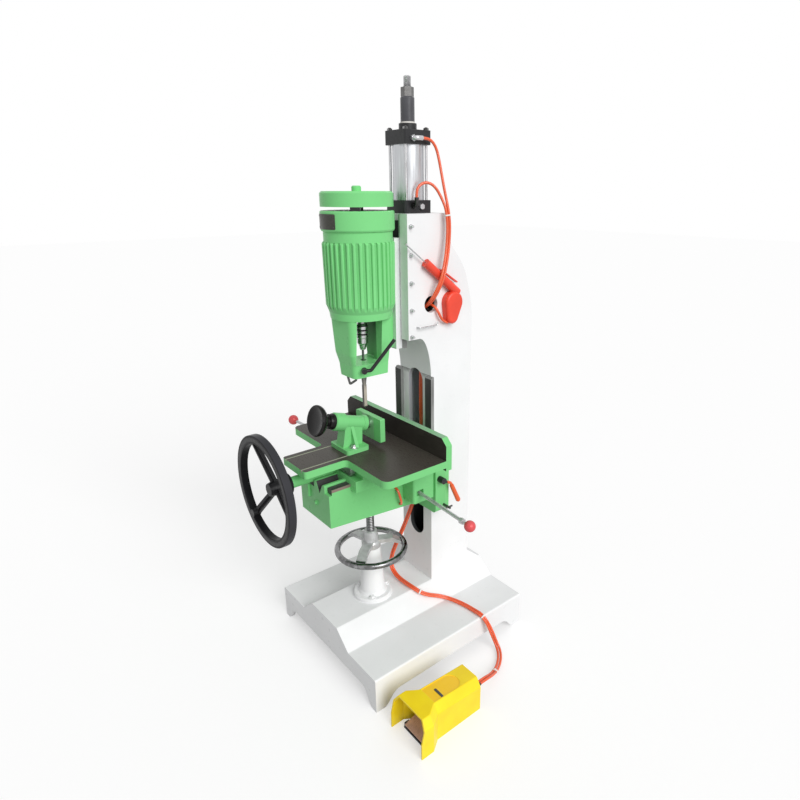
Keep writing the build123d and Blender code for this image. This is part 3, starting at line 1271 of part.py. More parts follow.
def vise_body():
    bore = RAM_DIA / 2 + RUNNING_FIT
    neck = VISE_NECK_DIA / 2
    barrel = VISE_BARREL_DIA / 2
    shell = on_screw([
        (0, VISE_NECK_START), (neck - 3, VISE_NECK_START), (neck, VISE_NECK_START + 3),
        (neck, VISE_NECK_END - 4),
        (barrel, VISE_NECK_END), (barrel, VISE_BARREL_END - 14), (barrel + 3, VISE_BARREL_END - 12),
        (barrel + 3, VISE_BARREL_END), (0, VISE_BARREL_END)])
    foot_front = back(VISE_FOOT_FRONT_Y)
    foot_rear = back(VISE_FOOT_BACK_Y)
    foot_top = TABLE_TOP_Z + VISE_FOOT_HEIGHT
    foot = block(
        -VISE_FOOT_WIDTH / 2, VISE_FOOT_WIDTH / 2, foot_front, foot_rear, TABLE_TOP_Z, foot_top)
    foot = fillet(foot.edges().filter_by(Axis.Z), 8)
    low_y, low_z = screw_point(VISE_NECK_START + 34)
    high_y, high_z = screw_point(VISE_BARREL_END - 20)
    web = slab_x(
        outline([(foot_front + 4, foot_top - 1), (foot_rear - 6, foot_top - 1), (back(high_y), high_z),
                 (back(low_y), low_z)]),
        -VISE_WEB_WIDTH / 2, VISE_WEB_WIDTH / 2)
    rib_y = (foot_front + foot_rear) / 2
    rib = slab_y(
        outline([
            (-VISE_FOOT_WIDTH / 2 + 6, foot_top - 1), (VISE_FOOT_WIDTH / 2 - 6, foot_top - 1),
            (VISE_WEB_WIDTH / 2 - 2, (low_z + high_z) / 2),
            (2 - VISE_WEB_WIDTH / 2, (low_z + high_z) / 2)]),
        rib_y - 5, rib_y + 5)
    body = shell + foot + web + rib
    hole = on_screw([
        (0, VISE_NECK_START - 1), (VISE_SCREW_DIA / 2 + RUNNING_FIT, VISE_NECK_START - 1),
        (VISE_SCREW_DIA / 2 + RUNNING_FIT, RAM_START - 2), (bore, RAM_START - 2),
        (bore, VISE_BARREL_END + 1),
        (0, VISE_BARREL_END + 1)])
    return body - hole


def vise_ram():
    """The ram and its upright jaw plate."""
    jaw_front = back(JAW_FRONT_Y)
    plane = vise_plane()
    jaw_at = (JAW_FRONT_Y + JAW_THICKNESS / 2 - VISE_FRONT_Y) / math.cos(math.radians(VISE_TILT))
    bar = plane * extrude(Plane.XY.offset(RAM_START) * Circle(RAM_DIA / 2), amount=jaw_at - RAM_START)
    jaw = block(
        -JAW_WIDTH / 2, JAW_WIDTH / 2, jaw_front, jaw_front + JAW_THICKNESS, JAW_BOTTOM_Z, JAW_TOP_Z)
    jaw = fillet(jaw.edges().filter_by(Axis.Y), 3)
    thread = plane * extrude(
        Plane.XY.offset(RAM_START - 1) * Circle(VISE_SCREW_DIA / 2 + RUNNING_FIT),
        amount=VISE_SCREW_END - RAM_START + 4)
    return bar + jaw - thread


def vise_wheel():
    """A dished handwheel, its collar against the vise body, and the screw inside the ram."""
    r = VISE_WHEEL_DIA / 2
    seat = VISE_NECK_START - SLIDE_FIT
    collar = VISE_COLLAR_DIA / 2
    points = [(0, 2), (11, 2), (15, 8), (r - 9, 8), (r - 4, -8), (r, -6), (r, 1),
              (r - 6, VISE_WHEEL_DEPTH - 6)]
    points += [(18, VISE_WHEEL_DEPTH), (14, VISE_WHEEL_DEPTH + 6), (14, seat - VISE_COLLAR)]
    points += [(collar, seat - VISE_COLLAR), (collar, seat - 6), (collar + 2, seat - 5), (collar + 2, seat)]
    points += [(VISE_SCREW_DIA / 2, seat), (VISE_SCREW_DIA / 2, VISE_SCREW_END), (0, VISE_SCREW_END)]
    return on_screw(points)


# Levers


def right_lever():
    """The ball lever in the fork of the knee's side block."""
    x, y, z = RIGHT_PIVOT
    pivot = (x, back(y), z)
    end = (RIGHT_BALL[0], back(RIGHT_BALL[1]), RIGHT_BALL[2])
    half = RIGHT_HUB_HEIGHT / 2
    hub = upright(x, back(y), RIGHT_HUB_DIA, z - half, z + half)
    pin = upright(x, back(y), RIGHT_PIN_DIA, BLOCK_BOTTOM_Z + 8 + SLIDE_FIT, BLOCK_TOP_Z - 2)
    line = Vector(*end) - Vector(*pivot)
    neck = Vector(*pivot) + line * 0.84
    nut_end = Vector(*pivot) + line * 0.89
    stop = Vector(*pivot) + line * (1 - BALL_SOCKET / line.length)
    lever = hub + pin + rod(pivot, stop, LEVER_ROD_DIA) + hex_bar(neck, nut_end, LEVER_ROD_DIA + 6)
    return [lever, ball(end, BALL_DIA) - lever]


def left_lever():
    """The clamp lever under the table's left wing, on a stud screwed up into the wing."""
    x, y, z = LEFT_PIVOT
    low = TABLE_TOP_Z - TABLE_THICKNESS
    pivot = (x, back(y), z)
    end = (LEFT_BALL[0], back(LEFT_BALL[1]), LEFT_BALL[2])
    half = LEFT_HUB_HEIGHT / 2
    stud = upright(x, back(y), LEVER_ROD_DIA, z, low + TABLE_THICKNESS / 2 - 1)
    hub = upright(x, back(y), LEFT_HUB_DIA, z - half, low - SEAT_GAP)
    line = Vector(*end) - Vector(*pivot)
    stop = Vector(*pivot) + line * (1 - BALL_SOCKET / line.length)
    lever = stud + hub + rod(pivot, stop, LEVER_ROD_DIA - 2)
    return [lever, ball(end, BALL_DIA) - lever]


def knee_clamp_lever():
    """A clamp lever with a drop grip on the knee plate's right side."""
    face = KNEE_PLATE_WIDTH / 2
    x = face + CLAMP_OUT
    hub = Vector(x, back(CLAMP_HUB[0]), CLAMP_HUB[1])
    elbow = Vector(x, back(CLAMP_ELBOW[0]), CLAMP_ELBOW[1])
    end = Vector(x, back(CLAMP_END[0]), CLAMP_END[1])
    drop = end - elbow
    start = elbow + drop.normalized() * CLAMP_ROD_DIA
    lever = rod((face - 15, hub.Y, hub.Z), hub, CLAMP_ROD_DIA)
    lever += rod((face + SEAT_GAP, hub.Y, hub.Z), (x + CLAMP_ROD_DIA / 2 + 1, hub.Y, hub.Z), CLAMP_HUB_DIA)
    lever += wire([hub, elbow, start + drop.normalized() * CLAMP_ROD_DIA], CLAMP_ROD_DIA, CLAMP_ROD_DIA)
    wide = CLAMP_GRIP_DIA / 2
    reach = (end - start).length
    grip = [(0, 0), (wide - 2, 0), (wide - 1, 3), (wide, reach - 6), (wide - 2, reach - 2),
            (wide - 5, reach), (0, reach)]
    return lever + lathe(start, end, grip)


def knee_lock_screw():
    """A lock screw with a cross handle."""
    face = KNEE_PLATE_WIDTH / 2
    y = back(LOCK_SCREW_Y)
    out = face + LOCK_SCREW_OUT
    half = LOCK_BAR_LENGTH / 2
    screw = rod((face - 19, y, LOCK_SCREW_Z), (out + LOCK_SCREW_DIA, y, LOCK_SCREW_Z), LOCK_SCREW_DIA)
    return screw + rod((out, y - half, LOCK_SCREW_Z), (out, y + half, LOCK_SCREW_Z), LOCK_BAR_DIA)


# Air gun


def gun_x():
    return COLUMN_WIDTH / 2 + SEAT_GAP + GUN_GRIP_THICKNESS / 2


def gun_point(place):
    return (gun_x(), back(place[0]), place[1])


def gun_body():
    """A barrel and a rounded grip, moulded in one."""
    barrel = rod(gun_point(GUN_FRONT), gun_point(GUN_HEEL), GUN_BARREL_DIA)
    low = COLUMN_WIDTH / 2 + SEAT_GAP
    heel = Pos(back(GUN_HEEL[0]) - 18, GUN_HEEL[1] - 28) * Circle(GUN_GRIP_DIA / 2)
    toe = Pos(back(GUN_GRIP_END[0]), GUN_GRIP_END[1] + 10) * Circle(GUN_GRIP_DIA / 3)
    grip = slab_x(make_hull(heel.edges() + toe.edges()), low, low + GUN_GRIP_THICKNESS)
    grip = fillet(grip.edges().group_by(Axis.X)[-1], 8)
    body = barrel + grip
    low = TRIGGER_WIDTH / 2 + SLIDE_FIT
    ear = block(low, low + TRIGGER_EAR, -TRIGGER_EAR, TRIGGER_EAR, -TRIGGER_HEIGHT + 4, TRIGGER_EAR)
    ear -= rod((0, 0, 0), (2 * TRIGGER_WIDTH, 0, 0), TRIGGER_PIN_DIA + 2 * RUNNING_FIT)
    body += trigger_plane() * mirrored(ear)
    body -= rod(gun_seat(-1), gun_seat(NOZZLE_SEAT + 1), GUN_NOZZLE_DIA + 2 * RUNNING_FIT)
    first, last = [Vector(x, back(y), z) for x, y, z in HOSE_GUN_ROUTE[-2:]]
    return body - rod(first, last + (last - first).normalized(), HOSE_DIA + 2 * RUNNING_FIT)


def gun_seat(depth):
    """A point on the barrel's line, this far behind the barrel's mouth."""
    line = Vector(*gun_point(GUN_HEEL)) - Vector(*gun_point(GUN_FRONT))
    return Vector(*gun_point(GUN_FRONT)) + line.normalized() * depth


def gun_nozzle():
    return rod(gun_seat(NOZZLE_SEAT), gun_seat(-NOZZLE_LENGTH), GUN_NOZZLE_DIA)


def trigger_plane():
    """The trigger's frame: origin at its pivot above the barrel, Y along the barrel to the heel."""
    line = (gun_seat(TRIGGER_START) - gun_seat(0)).normalized()
    up = Vector(0, -line.Z, line.Y)
    return Plane(origin=gun_seat(TRIGGER_START) + up * TRIGGER_HEIGHT, x_dir=(1, 0, 0), z_dir=up)


def gun_trigger():
    """A thumb lever over the barrel, held open by its spring."""
    half = TRIGGER_WIDTH / 2
    pin = half + TRIGGER_EAR
    bar = block(-half, half, 0, TRIGGER_LENGTH, -TRIGGER_THICKNESS / 2, TRIGGER_THICKNESS / 2)
    bar += rod((-half, 0, 0), (half, 0, 0), TRIGGER_THICKNESS + 2)
    bar += rod((-pin, 0, 0), (pin, 0, 0), TRIGGER_PIN_DIA)
    return trigger_plane() * Rot(TRIGGER_OPEN, 0, 0) * bar


def gun_hook():
    """A bent wire set in the column's side, turned back under the gun."""
    face = COLUMN_WIDTH / 2
    z = HOOK_Z
    points = [(face - HOOK_DEPTH, back(HOOK_Y), z), (gun_x(), back(HOOK_Y), z),
              (gun_x(), back(HOOK_END_Y), z)]
    points.append((gun_x(), back(HOOK_END_Y) + HOOK_TURN / 2, z + HOOK_TURN))
    return wire(points, HOOK_DIA, HOOK_TURN / 2)


# Foot valve


def guard_section(width, height):
    half = width / 2
    side = [(half, 0), (half, height - PEDAL_BEVEL_DROP), (half - PEDAL_BEVEL, height)]
    shape = outline(side + [(-x, z) for x, z in reversed(side)])
    return fillet([v for v in shape.vertices() if v.Y > 1], PEDAL_BEVEL_ROUND)


def guard_shell(inset):
    """The guard's outer form, drawn in by an inset for its hollow."""
    body = PEDAL_BODY_WIDTH - 2 * inset
    hood = PEDAL_HOOD_WIDTH - 2 * inset
    drop = PEDAL_FRONT_HEIGHT - inset
    rear = PEDAL_BACK_HEIGHT - inset
    planes = [back(PEDAL_FRONT_Y), back(PEDAL_WING_Y), back(PEDAL_HOOD_Y), back(PEDAL_BACK_Y) - inset]
    sizes = [(hood, drop), (hood, drop), (body, drop), (body, rear)]
    placed = [Plane.XZ.offset(-y) * guard_section(*size) for y, size in zip(planes, sizes)]
    return Pos(PEDAL_X, 0, 0) * loft(placed, ruled=True)


def guard_panel():
    """The shallow panel sunk in the guard's top, round at its back end."""
    front = back(PANEL_FRONT_Y)
    middle = back(PANEL_BACK_Y) - PANEL_WIDTH / 2
    plan = Pos(PEDAL_X, (front + middle) / 2) * Rectangle(PANEL_WIDTH, middle - front)
    plan += Pos(PEDAL_X, middle) * Circle(PANEL_WIDTH / 2)
    reach = slab_z(plan, PEDAL_BACK_HEIGHT / 2, 2 * PEDAL_FRONT_HEIGHT)
    return reach - guard_shell(PANEL_SINK)


def pedal_guard():
    shell = guard_shell(0) - Pos(0, -0.01, -0.01) * guard_shell(PEDAL_WALL)
    lip = outline([
        (back(PEDAL_FRONT_Y) - 1, PEDAL_FRONT_HEIGHT + 1), (back(PEDAL_FRONT_Y) - 1, 46),
        (back(PEDAL_FRONT_Y) + 16, PEDAL_FRONT_HEIGHT + 1)])
    shell -= slab_x(lip, PEDAL_X - PEDAL_HOOD_WIDTH, PEDAL_X + PEDAL_HOOD_WIDTH)
    shell -= guard_panel()
    half = VALVE_WIDTH / 2
    return shell - block(
        PEDAL_X - half, PEDAL_X + half, back(PEDAL_BACK_Y) - 3 * PEDAL_WALL, back(PEDAL_BACK_Y) + 1,
        PEDAL_HOSE_Z - 12, PEDAL_HOSE_Z + 12)


def pedal_base():
    """Floor plate, valve block with two hose nipples, and the treadle's hinge ears."""
    half = PEDAL_BODY_WIDTH / 2 - PEDAL_WALL - SEAT_GAP
    rear = back(PEDAL_BACK_Y) - PEDAL_WALL - SEAT_GAP
    hinge = back(TREADLE_PIVOT_Y)
    plate = block(PEDAL_X - half, PEDAL_X + half, hinge - EAR_HALF, rear, 0, PEDAL_FLOOR)
    valve = VALVE_WIDTH / 2
    plate += block(PEDAL_X - valve, PEDAL_X + valve, back(VALVE_FRONT_Y), rear, 0, VALVE_HEIGHT)
    for side in (-1, 1):
        route = beside(HOSE_PEDAL_ROUTE, side * HOSE_PAIR_GAP / 2)
        before, end = [Vector(x, back(y), z) for x, y, z in route[-2:]]
        plate += rod(end, end + (end - before).normalized() * NIPPLE_LENGTH, NIPPLE_DIA)
        inner = TREADLE_WIDTH / 2 + SLIDE_FIT
        ear = block(inner, inner + EAR_THICKNESS, hinge - EAR_HALF, hinge + EAR_HALF, 0,
                    TREADLE_PIVOT_Z + EAR_HALF)
        ear -= rod((0, hinge, TREADLE_PIVOT_Z), (half, hinge, TREADLE_PIVOT_Z),
                   TREADLE_PIN_DIA + 2 * RUNNING_FIT)
        plate += Pos(PEDAL_X, 0, 0) * (ear if side > 0 else mirror(ear, Plane.YZ))
    return plate


def pedal_plate():
    """The treadle, hinged near the floor at the guard's mouth and rising towards the valve."""
    half = TREADLE_WIDTH / 2
    pin_end = half + EAR_THICKNESS - SEAT_GAP
    deck = block(-half, half, -EAR_HALF, TREADLE_LENGTH, 2, 2 + TREADLE_THICKNESS)
    knuckle = rod((-half, 0, 0), (half, 0, 0), KNUCKLE_DIA)
    pin = rod((-pin_end, 0, 0), (pin_end, 0, 0), TREADLE_PIN_DIA)
    placed = Pos(PEDAL_X, back(TREADLE_PIVOT_Y), TREADLE_PIVOT_Z) * Rot(TREADLE_TILT, 0, 0)
    return placed * (deck + knuckle + pin)


# Air hoses


def corner_radii(points):
    """Each corner's arc is as large as its two runs allow."""
    radii = []
    for a, b, c in zip(points, points[1:], points[2:]):
        first = Vector(*b) - Vector(*a)
        second = Vector(*c) - Vector(*b)
        turn = math.radians(first.get_angle(second))
        radii.append(0.45 * min(first.length, second.length) / math.tan(turn / 2))
    return radii


def top_route(shift):
    """The shared run of the two cylinder hoses, one behind the other."""
    return [(x, y + shift, z) for x, y, z in HOSE_TOP_ROUTE]


def beside(route, shift):
    """A route moved sideways, level, square to its way as seen from above and along X where it is steep."""
    angle = -math.pi / 2
    moved = []
    for before, here, after in zip(route[:1] + route, route, route[1:] + route[-1:]):
        dx, dy, dz = [end - start for start, end in zip(before, after)]
        steep = math.hypot(dx, dy) < abs(dz) / 2
        angle = (angle + (0 if steep else math.atan2(dx, -dy))) / 2
        moved.append((here[0] + shift * math.cos(angle), here[1] + shift * math.sin(angle), here[2]))
    return moved


def hose(name, route):
    """A tube of straight runs joined by arcs; the route gives depths from the base's front."""
    points = [(x, back(y), z) for x, y, z in route]
    radii = corner_radii(points)
    path = FilletPolyline(*points, radius=radii)
    tube = sweep(Plane(origin=path @ 0, z_dir=path % 0) * Circle(HOSE_DIA / 2), path=path)
    full = tube.volume / (math.pi * HOSE_DIA ** 2 / 4 * path.length)
    print(f"{name}: length {path.length:.0f}, least radius {min(radii):.0f}, volume ratio {full:.4f}")
    return tube


PIECES = {
    "base_casting": base_casting(),
    "column": column(),
    "gib_strip": gib_strip(),
    "gib_screws": gib_screws(),
    "cylinder_lower_cap": cylinder_lower_cap(),
    "cylinder_barrel": cylinder_barrel(),
    "cylinder_upper_cap": cylinder_upper_cap(),
    "cylinder_tie_rods": cylinder_tie_rods(),
    "air_fittings": air_fittings(),
    "pedestal": pedestal(),
    "gun_body": gun_body(),
    "gun_nozzle": gun_nozzle(),
    "gun_trigger": gun_trigger(),
    "gun_hook": gun_hook(),
    "pedal_guard": pedal_guard(),
    "pedal_base": pedal_base(),
    "pedal_plate": pedal_plate(),
    "hose_upper": hose("hose_upper", HOSE_UPPER_START + top_route(HOSE_PAIR_GAP / 2)),
    "hose_lower": hose("hose_lower", HOSE_LOWER_START + top_route(-HOSE_PAIR_GAP / 2)),
    "hose_gun": hose("hose_gun", HOSE_GUN_ROUTE),
    "hose_pedal_left": hose("hose_pedal_left", beside(HOSE_PEDAL_ROUTE, -HOSE_PAIR_GAP / 2)),
    "hose_pedal_right": hose("hose_pedal_right", beside(HOSE_PEDAL_ROUTE, HOSE_PAIR_GAP / 2)),
    "head_slide": head_slide(),
    "motor_housing": motor_housing(),
    "motor_end_ring": motor_end_ring(),
    "motor_fan_cover": motor_fan_cover(),
    "fan_cover_spacers": fan_cover_spacers(),
    "stator": stator(),
    "chuck_housing": chuck_housing(),
    "hollow_chisel": hollow_chisel(),
    "piston_rod": piston_rod(),
    "piston": piston(),
    "stroke_sleeve": stroke_sleeve(),
    "rod_nuts": rod_nuts(),
    "spindle_bearings": spindle_bearings(),
    "spindle_shaft": spindle_shaft(),
    "rotor": rotor(),
    "cooling_fan": cooling_fan(),
    "drill_chuck": drill_chuck(),
    "auger_bit": auger_bit(),
    "chisel_lock_lever": chisel_lock_lever(),
    "knee_casting": knee_casting(),
    "knee_keepers": knee_keepers(),
    "elevating_screw": elevating_screw(),
    "hose_knee": hose("hose_knee", HOSE_KNEE_ROUTE),
    "elevating_wheel": elevating_wheel(),
    "saddle": saddle(),
    "table": table(),
    "fence": fence(),
    "feed_rack": feed_rack(),
    "vise_body": vise_body(),
    "vise_ram": vise_ram(),
    "vise_wheel": vise_wheel(),
    "feed_wheel": feed_wheel(),
    "pinion_shaft": pinion_shaft(),
    "left_lever": left_lever(),
    "right_lever": right_lever(),
    "knee_clamp_lever": knee_clamp_lever(),
    "knee_lock_screw": knee_lock_screw(),
}

os.makedirs("parts", exist_ok=True)
for node, shape in PIECES.items():
    if isinstance(shape, list):
        shape = Compound(children=[piece for part in shape for piece in part.solids()])
    export_step(shape, f"parts/{node}.step")
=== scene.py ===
import math
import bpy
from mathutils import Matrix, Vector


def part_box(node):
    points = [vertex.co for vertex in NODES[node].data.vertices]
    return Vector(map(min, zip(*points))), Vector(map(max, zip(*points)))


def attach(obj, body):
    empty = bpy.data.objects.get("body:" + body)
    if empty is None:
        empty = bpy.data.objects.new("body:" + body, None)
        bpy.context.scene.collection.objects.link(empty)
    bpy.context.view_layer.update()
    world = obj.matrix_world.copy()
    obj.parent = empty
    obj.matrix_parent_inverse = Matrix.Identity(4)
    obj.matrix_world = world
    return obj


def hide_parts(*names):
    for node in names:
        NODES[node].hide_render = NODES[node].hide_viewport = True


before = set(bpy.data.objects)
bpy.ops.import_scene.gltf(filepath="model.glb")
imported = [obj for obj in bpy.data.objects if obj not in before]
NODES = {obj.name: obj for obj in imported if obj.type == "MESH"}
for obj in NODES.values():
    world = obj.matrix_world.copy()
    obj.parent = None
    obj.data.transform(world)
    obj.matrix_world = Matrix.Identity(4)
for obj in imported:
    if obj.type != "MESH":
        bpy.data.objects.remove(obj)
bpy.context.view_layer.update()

from types import SimpleNamespace

import bpy
import numpy as np
from bpy.props import FloatProperty, FloatVectorProperty, IntProperty, PointerProperty
from mathutils import Vector

bl_info = {
    "name": "Hollow chisel mortiser",
    "version": (1, 0, 0),
    "blender": (4, 5, 0),
    "location": "View3D > Sidebar > Mortiser",
    "description": "Dresses a floor-standing hollow chisel mortiser with its hoses, small fittings and finishes",
    "category": "Object",
}

BASE_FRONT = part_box("base_casting")[0].y


def place(points):
    """Millimetre points, with depths measured back from the base's front face, as metres in the shared frame."""
    return np.asarray(points, float) * 0.001 + (0.0, BASE_FRONT, 0.0)


# ---------------------------------------------------------------- settings


def colour(name, text, value):
    return FloatVectorProperty(name=name, description=text, subtype="COLOR", size=3, min=0, max=1, default=value)


def length(name, text, value):
    return FloatProperty(name=name, description=text, unit="LENGTH", min=0, precision=4, default=value)


class MortiserColours(bpy.types.PropertyGroup):
    """The finishes' own colours, in linear light."""

    white_paint: colour("White paint", "Gloss paint on the base, column, pedestal and slide", (0.83, 0.835, 0.84))
    green_paint: colour("Green paint", "Gloss paint on the motor, knee, saddle, table and vise", (0.192, 0.600, 0.218))
    black_paint: colour("Black paint", "Satin black on the feed wheel, levers and cylinder caps", (0.008, 0.008, 0.009))
    black_knob: colour("Black knob", "Moulded black of the vise wheel", (0.011, 0.010, 0.010))
    dark_iron: colour("Dark iron", "Ground iron of the table top, the fence and the vise jaw", (0.068, 0.060, 0.050))
    way_iron: colour("Way iron", "Scraped and oiled iron of the sliding ways", (0.085, 0.085, 0.084))
    groove_iron: colour("Groove iron", "Bare milled iron of the table's grooves", (0.42, 0.39, 0.34))
    bright_steel: colour("Bright steel", "Turned and ground steel", (0.56, 0.56, 0.57))
    dark_steel: colour("Dark steel", "Blackened and oily steel", (0.12, 0.118, 0.116))
    chrome: colour("Chrome", "Plated elevating wheel", (0.30, 0.30, 0.305))
    barrel: colour("Barrel", "Anodised cylinder barrel", (0.55, 0.56, 0.58))
    slate: colour("Slate", "Unpainted inside of the column", (0.58, 0.60, 0.65))
    hose: colour("Hose", "Orange-red air hose", (0.82, 0.115, 0.035))
    ball: colour("Ball", "Red lever balls", (0.74, 0.006, 0.014))
    gun: colour("Air gun", "Red plastic of the air gun", (0.80, 0.062, 0.03))
    guard: colour("Foot valve", "Yellow plastic of the foot valve's guard", (1.0, 0.72, 0.008))
    # The sunk panel's deeper yellow is painted shade in the recess.
    guard_panel_shade: colour("Foot valve top", "Deeper yellow of the sunk panel on the guard", (1.0, 0.61, 0.014))
    grip: colour("Clamp grip", "Orange-red grip of the knee clamp", (0.78, 0.12, 0.03))
    treadle: colour("Treadle", "Brown-grey plate under the guard", (0.60, 0.39, 0.33))
    tie: colour("Hose tie", "White plastic ties on the hoses", (0.83, 0.82, 0.80))
    plate: colour("Bare plate", "Dark bare plate on the motor", (0.050, 0.050, 0.042))


class MortiserSizes(bpy.types.PropertyGroup):
    """Sizes of the pieces that are made here."""

    hose: length("Hose", "Outside diameter of the air hoses", 0.008)
    hose_pair: length("Hose pair", "Distance between the centre lines of two hoses tied together", 0.0092)
    tie_width: length("Tie width", "Width of a hose tie's strap", 0.0042)
    tie_thickness: length("Tie thickness", "Thickness of a hose tie's strap", 0.0013)
    bolt: length("Bolt", "Size across the flats of the pedestal's bolts", 0.013)
    bolt_circle: length("Bolt circle", "Radius of the bolt circle on the pedestal's flange", 0.051)
    bolt_count: IntProperty(name="Bolts", description="Bolts round the pedestal's flange", min=1, default=3)
    vise_bolt: length("Vise bolt", "Size across the flats of the vise's foot bolts", 0.015)
    knee_plug: length("Knee plug", "Size across the flats of the plug in the knee's front", 0.011)
    plate_width: length("Plate width", "Width of the motor's bare plate, round the ring", 0.089)
    plate_height: length("Plate height", "Height of the motor's bare plate", 0.039)
    plate_thickness: length("Plate thickness", "Thickness of the motor's bare plate", 0.0009)
    wire: length("Wire", "Diameter of the bent wire under the chuck housing", 0.0068)
    floor: length("Floor", "Side of the square floor", 40.0)


def palette(context):
    """The settings' colours by name, as plain triples."""
    group = context.scene.mortiser_colours
    return SimpleNamespace(**{key: tuple(getattr(group, key)) for key in MortiserColours.__annotations__})


# ---------------------------------------------------------------- surfaces


def mesh_piece(name, grids, smooth=True):
    """One mesh from several grids of points. Each cell of a grid is a face. A grid is (points, loop, ring, caps):
    loop joins its last row to its first, ring its last column to its first, caps closes its first and last rows.
    A grid whose enclosed volume comes out negative is turned the other way round, so faces point outwards."""
    places, faces, start = [], [], 0
    for points, loop, ring, caps in grids:
        rows, columns = points.shape[:2]
        index = np.arange(rows * columns).reshape(rows, columns)
        first, last = index[0], index[-1]
        if loop:
            index = np.vstack([index, index[:1]])
        if ring:
            index = np.hstack([index, index[:, :1]])
        cells = np.stack([index[:-1, :-1], index[1:, :-1], index[1:, 1:], index[:-1, 1:]], axis=-1).reshape(-1, 4)
        flat = points.reshape(-1, 3)
        middle = flat - flat.mean(axis=0)
        a, b, c, d = (middle[cells[:, i]] for i in range(4))
        volume = np.einsum("ij,ij->", a, np.cross(b, c)) + np.einsum("ij,ij->", a, np.cross(c, d))
        lids = [first, last[::-1]] if caps else []
        for lid in lids:
            fan = middle[lid]
            volume += np.einsum("ij,ij->", np.broadcast_to(fan[0], fan[1:-1].shape), np.cross(fan[1:-1], fan[2:]))
        every = cells.tolist() + [lid.tolist() for lid in lids]
        if volume < 0:
            every = [face[::-1] for face in every]
        faces += [[corner + start for corner in face] for face in every]
        places.append(flat)
        start += len(flat)
    mesh = bpy.data.meshes.new(name)
    mesh.from_pydata(np.vstack(places).tolist(), [], faces)
    mesh.polygons.foreach_set("use_smooth", np.full(len(mesh.polygons), smooth))
    mesh.update()
    return bpy.data.objects.new(name, mesh)


def turned_grid(profile, centre, axis, sides, flats=None):
    """A profile of (radius, height) carried round an axis. Where flats is given for a row, the radius round the
    axis is the lesser of the profile's own and that of a hexagon with those flats."""
    axis = np.asarray(axis, float) / np.linalg.norm(axis)
    side = np.cross(axis, (0.31, 0.83, 0.47))
    side /= np.linalg.norm(side)
    other = np.cross(axis, side)
    turn = np.linspace(0, 2 * math.pi, sides, endpoint=False)
    radius, height = np.asarray(profile, float).T
    radius = np.repeat(radius[:, None], sides, axis=1)
    if flats is not None:
        hexagon = 0.5 / np.cos((turn + math.pi / 6) % (math.pi / 3) - math.pi / 6)
        limit = np.where(np.asarray(flats, float) > 0, flats, 1e3)[:, None] * hexagon[None, :]
        radius = np.minimum(radius, limit)
    round_axis = np.cos(turn)[:, None] * side + np.sin(turn)[:, None] * other
    points = np.asarray(centre, float) + radius[..., None] * round_axis + height[:, None, None] * axis
    return points, False, True, True


def bolt_grid(centre, axis, across):
    """A washer under a six-sided head: rows of the washer's circle, then of the hexagon cut by the head's chamfer."""
    wide, thick, tall = across * 0.95, across * 0.14, across * 0.62
    profile = [
        (wide, 0), (wide, thick * 0.8), (wide * 0.97, thick), (across, thick), (across, tall * 0.86),
        (across * 0.54, tall * 0.93), (across * 0.47, tall), (across * 0.25, tall * 0.985)]
    flats = [0, 0, 0, across, across, across, 0, 0]
    return turned_grid(profile, centre, axis, 48, flats)


def tube_grid(path, radius, sides, beyond):
    """A circle carried along a path: at each point it stands square to the path's direction there. Beyond is a way
    that the path never takes."""
    along = np.gradient(path, axis=0)
    along /= np.linalg.norm(along, axis=1, keepdims=True)
    side = np.cross(along, beyond)
    side /= np.linalg.norm(side, axis=1, keepdims=True)
    other = np.cross(along, side)
    turn = np.linspace(0, 2 * math.pi, sides, endpoint=False)
    ring = np.cos(turn)[None, :, None] * side[:, None] + np.sin(turn)[None, :, None] * other[:, None]
    return path[:, None] + radius * ring, False, True, True


def rounded_block_grid(centre, axes, half, square=0.35, rows=17, columns=32):
    """A block with rounded edges: a ball whose sines and cosines are raised to a power well under one."""
    up = np.linspace(-math.pi / 2, math.pi / 2, rows)[1:-1, None]
    turn = np.linspace(-math.pi, math.pi, columns, endpoint=False)[None, :]

    def power(value):
        return np.sign(value) * np.abs(value) ** square

    local = np.stack(np.broadcast_arrays(
        half[0] * power(np.cos(up)) * power(np.cos(turn)),
        half[1] * power(np.cos(up)) * power(np.sin(turn)),
        half[2] * power(np.sin(up))), axis=-1)
    return np.asarray(centre) + local @ np.asarray(axes, float), False, True, True


def straight_grid(section, ends, axis):
    """A flat section carried straight along one axis from end to end, in millimetres as place takes them."""
    points = np.empty((len(ends), len(section), 3))
    points[..., [other for other in range(3) if other != axis]] = section
    points[..., axis] = np.asarray(ends)[:, None]
    return place(points), False, True, True


def curved_path(corners, reach=0.004, count=10):
    """A bent wire's path: straight runs, and at each inner corner a quadratic curve that begins and ends within reach
    of the corner."""
    runs = np.diff(corners, axis=0)
    runs /= np.linalg.norm(runs, axis=1, keepdims=True)
    bends = corners[1:-1, None]
    t = np.linspace(0, 1, count)[None, :, None]
    curve = bends - (1 - t) ** 2 * reach * runs[:-1, None] + t ** 2 * reach * runs[1:, None]
    return np.vstack([corners[:1], curve.reshape(-1, 3), corners[-1:]])


def put(piece, body, material):
    """Links a finished piece, gives it its material and lets it ride on a body."""
    bpy.context.scene.collection.objects.link(piece)
    piece.data.materials.append(material)
    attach(piece, body)
    return piece


# ---------------------------------------------------------------- finishes


def tone(base, share):
    """A colour made darker or lighter by a share."""
    return tuple(min(1.0, part * share) for part in base)


def knee_green(colours):
    """The knee's green, a shade deeper than the rest: a darker copy of the green paint, as painted shade."""
    return tone(colours.green_paint, 0.95)


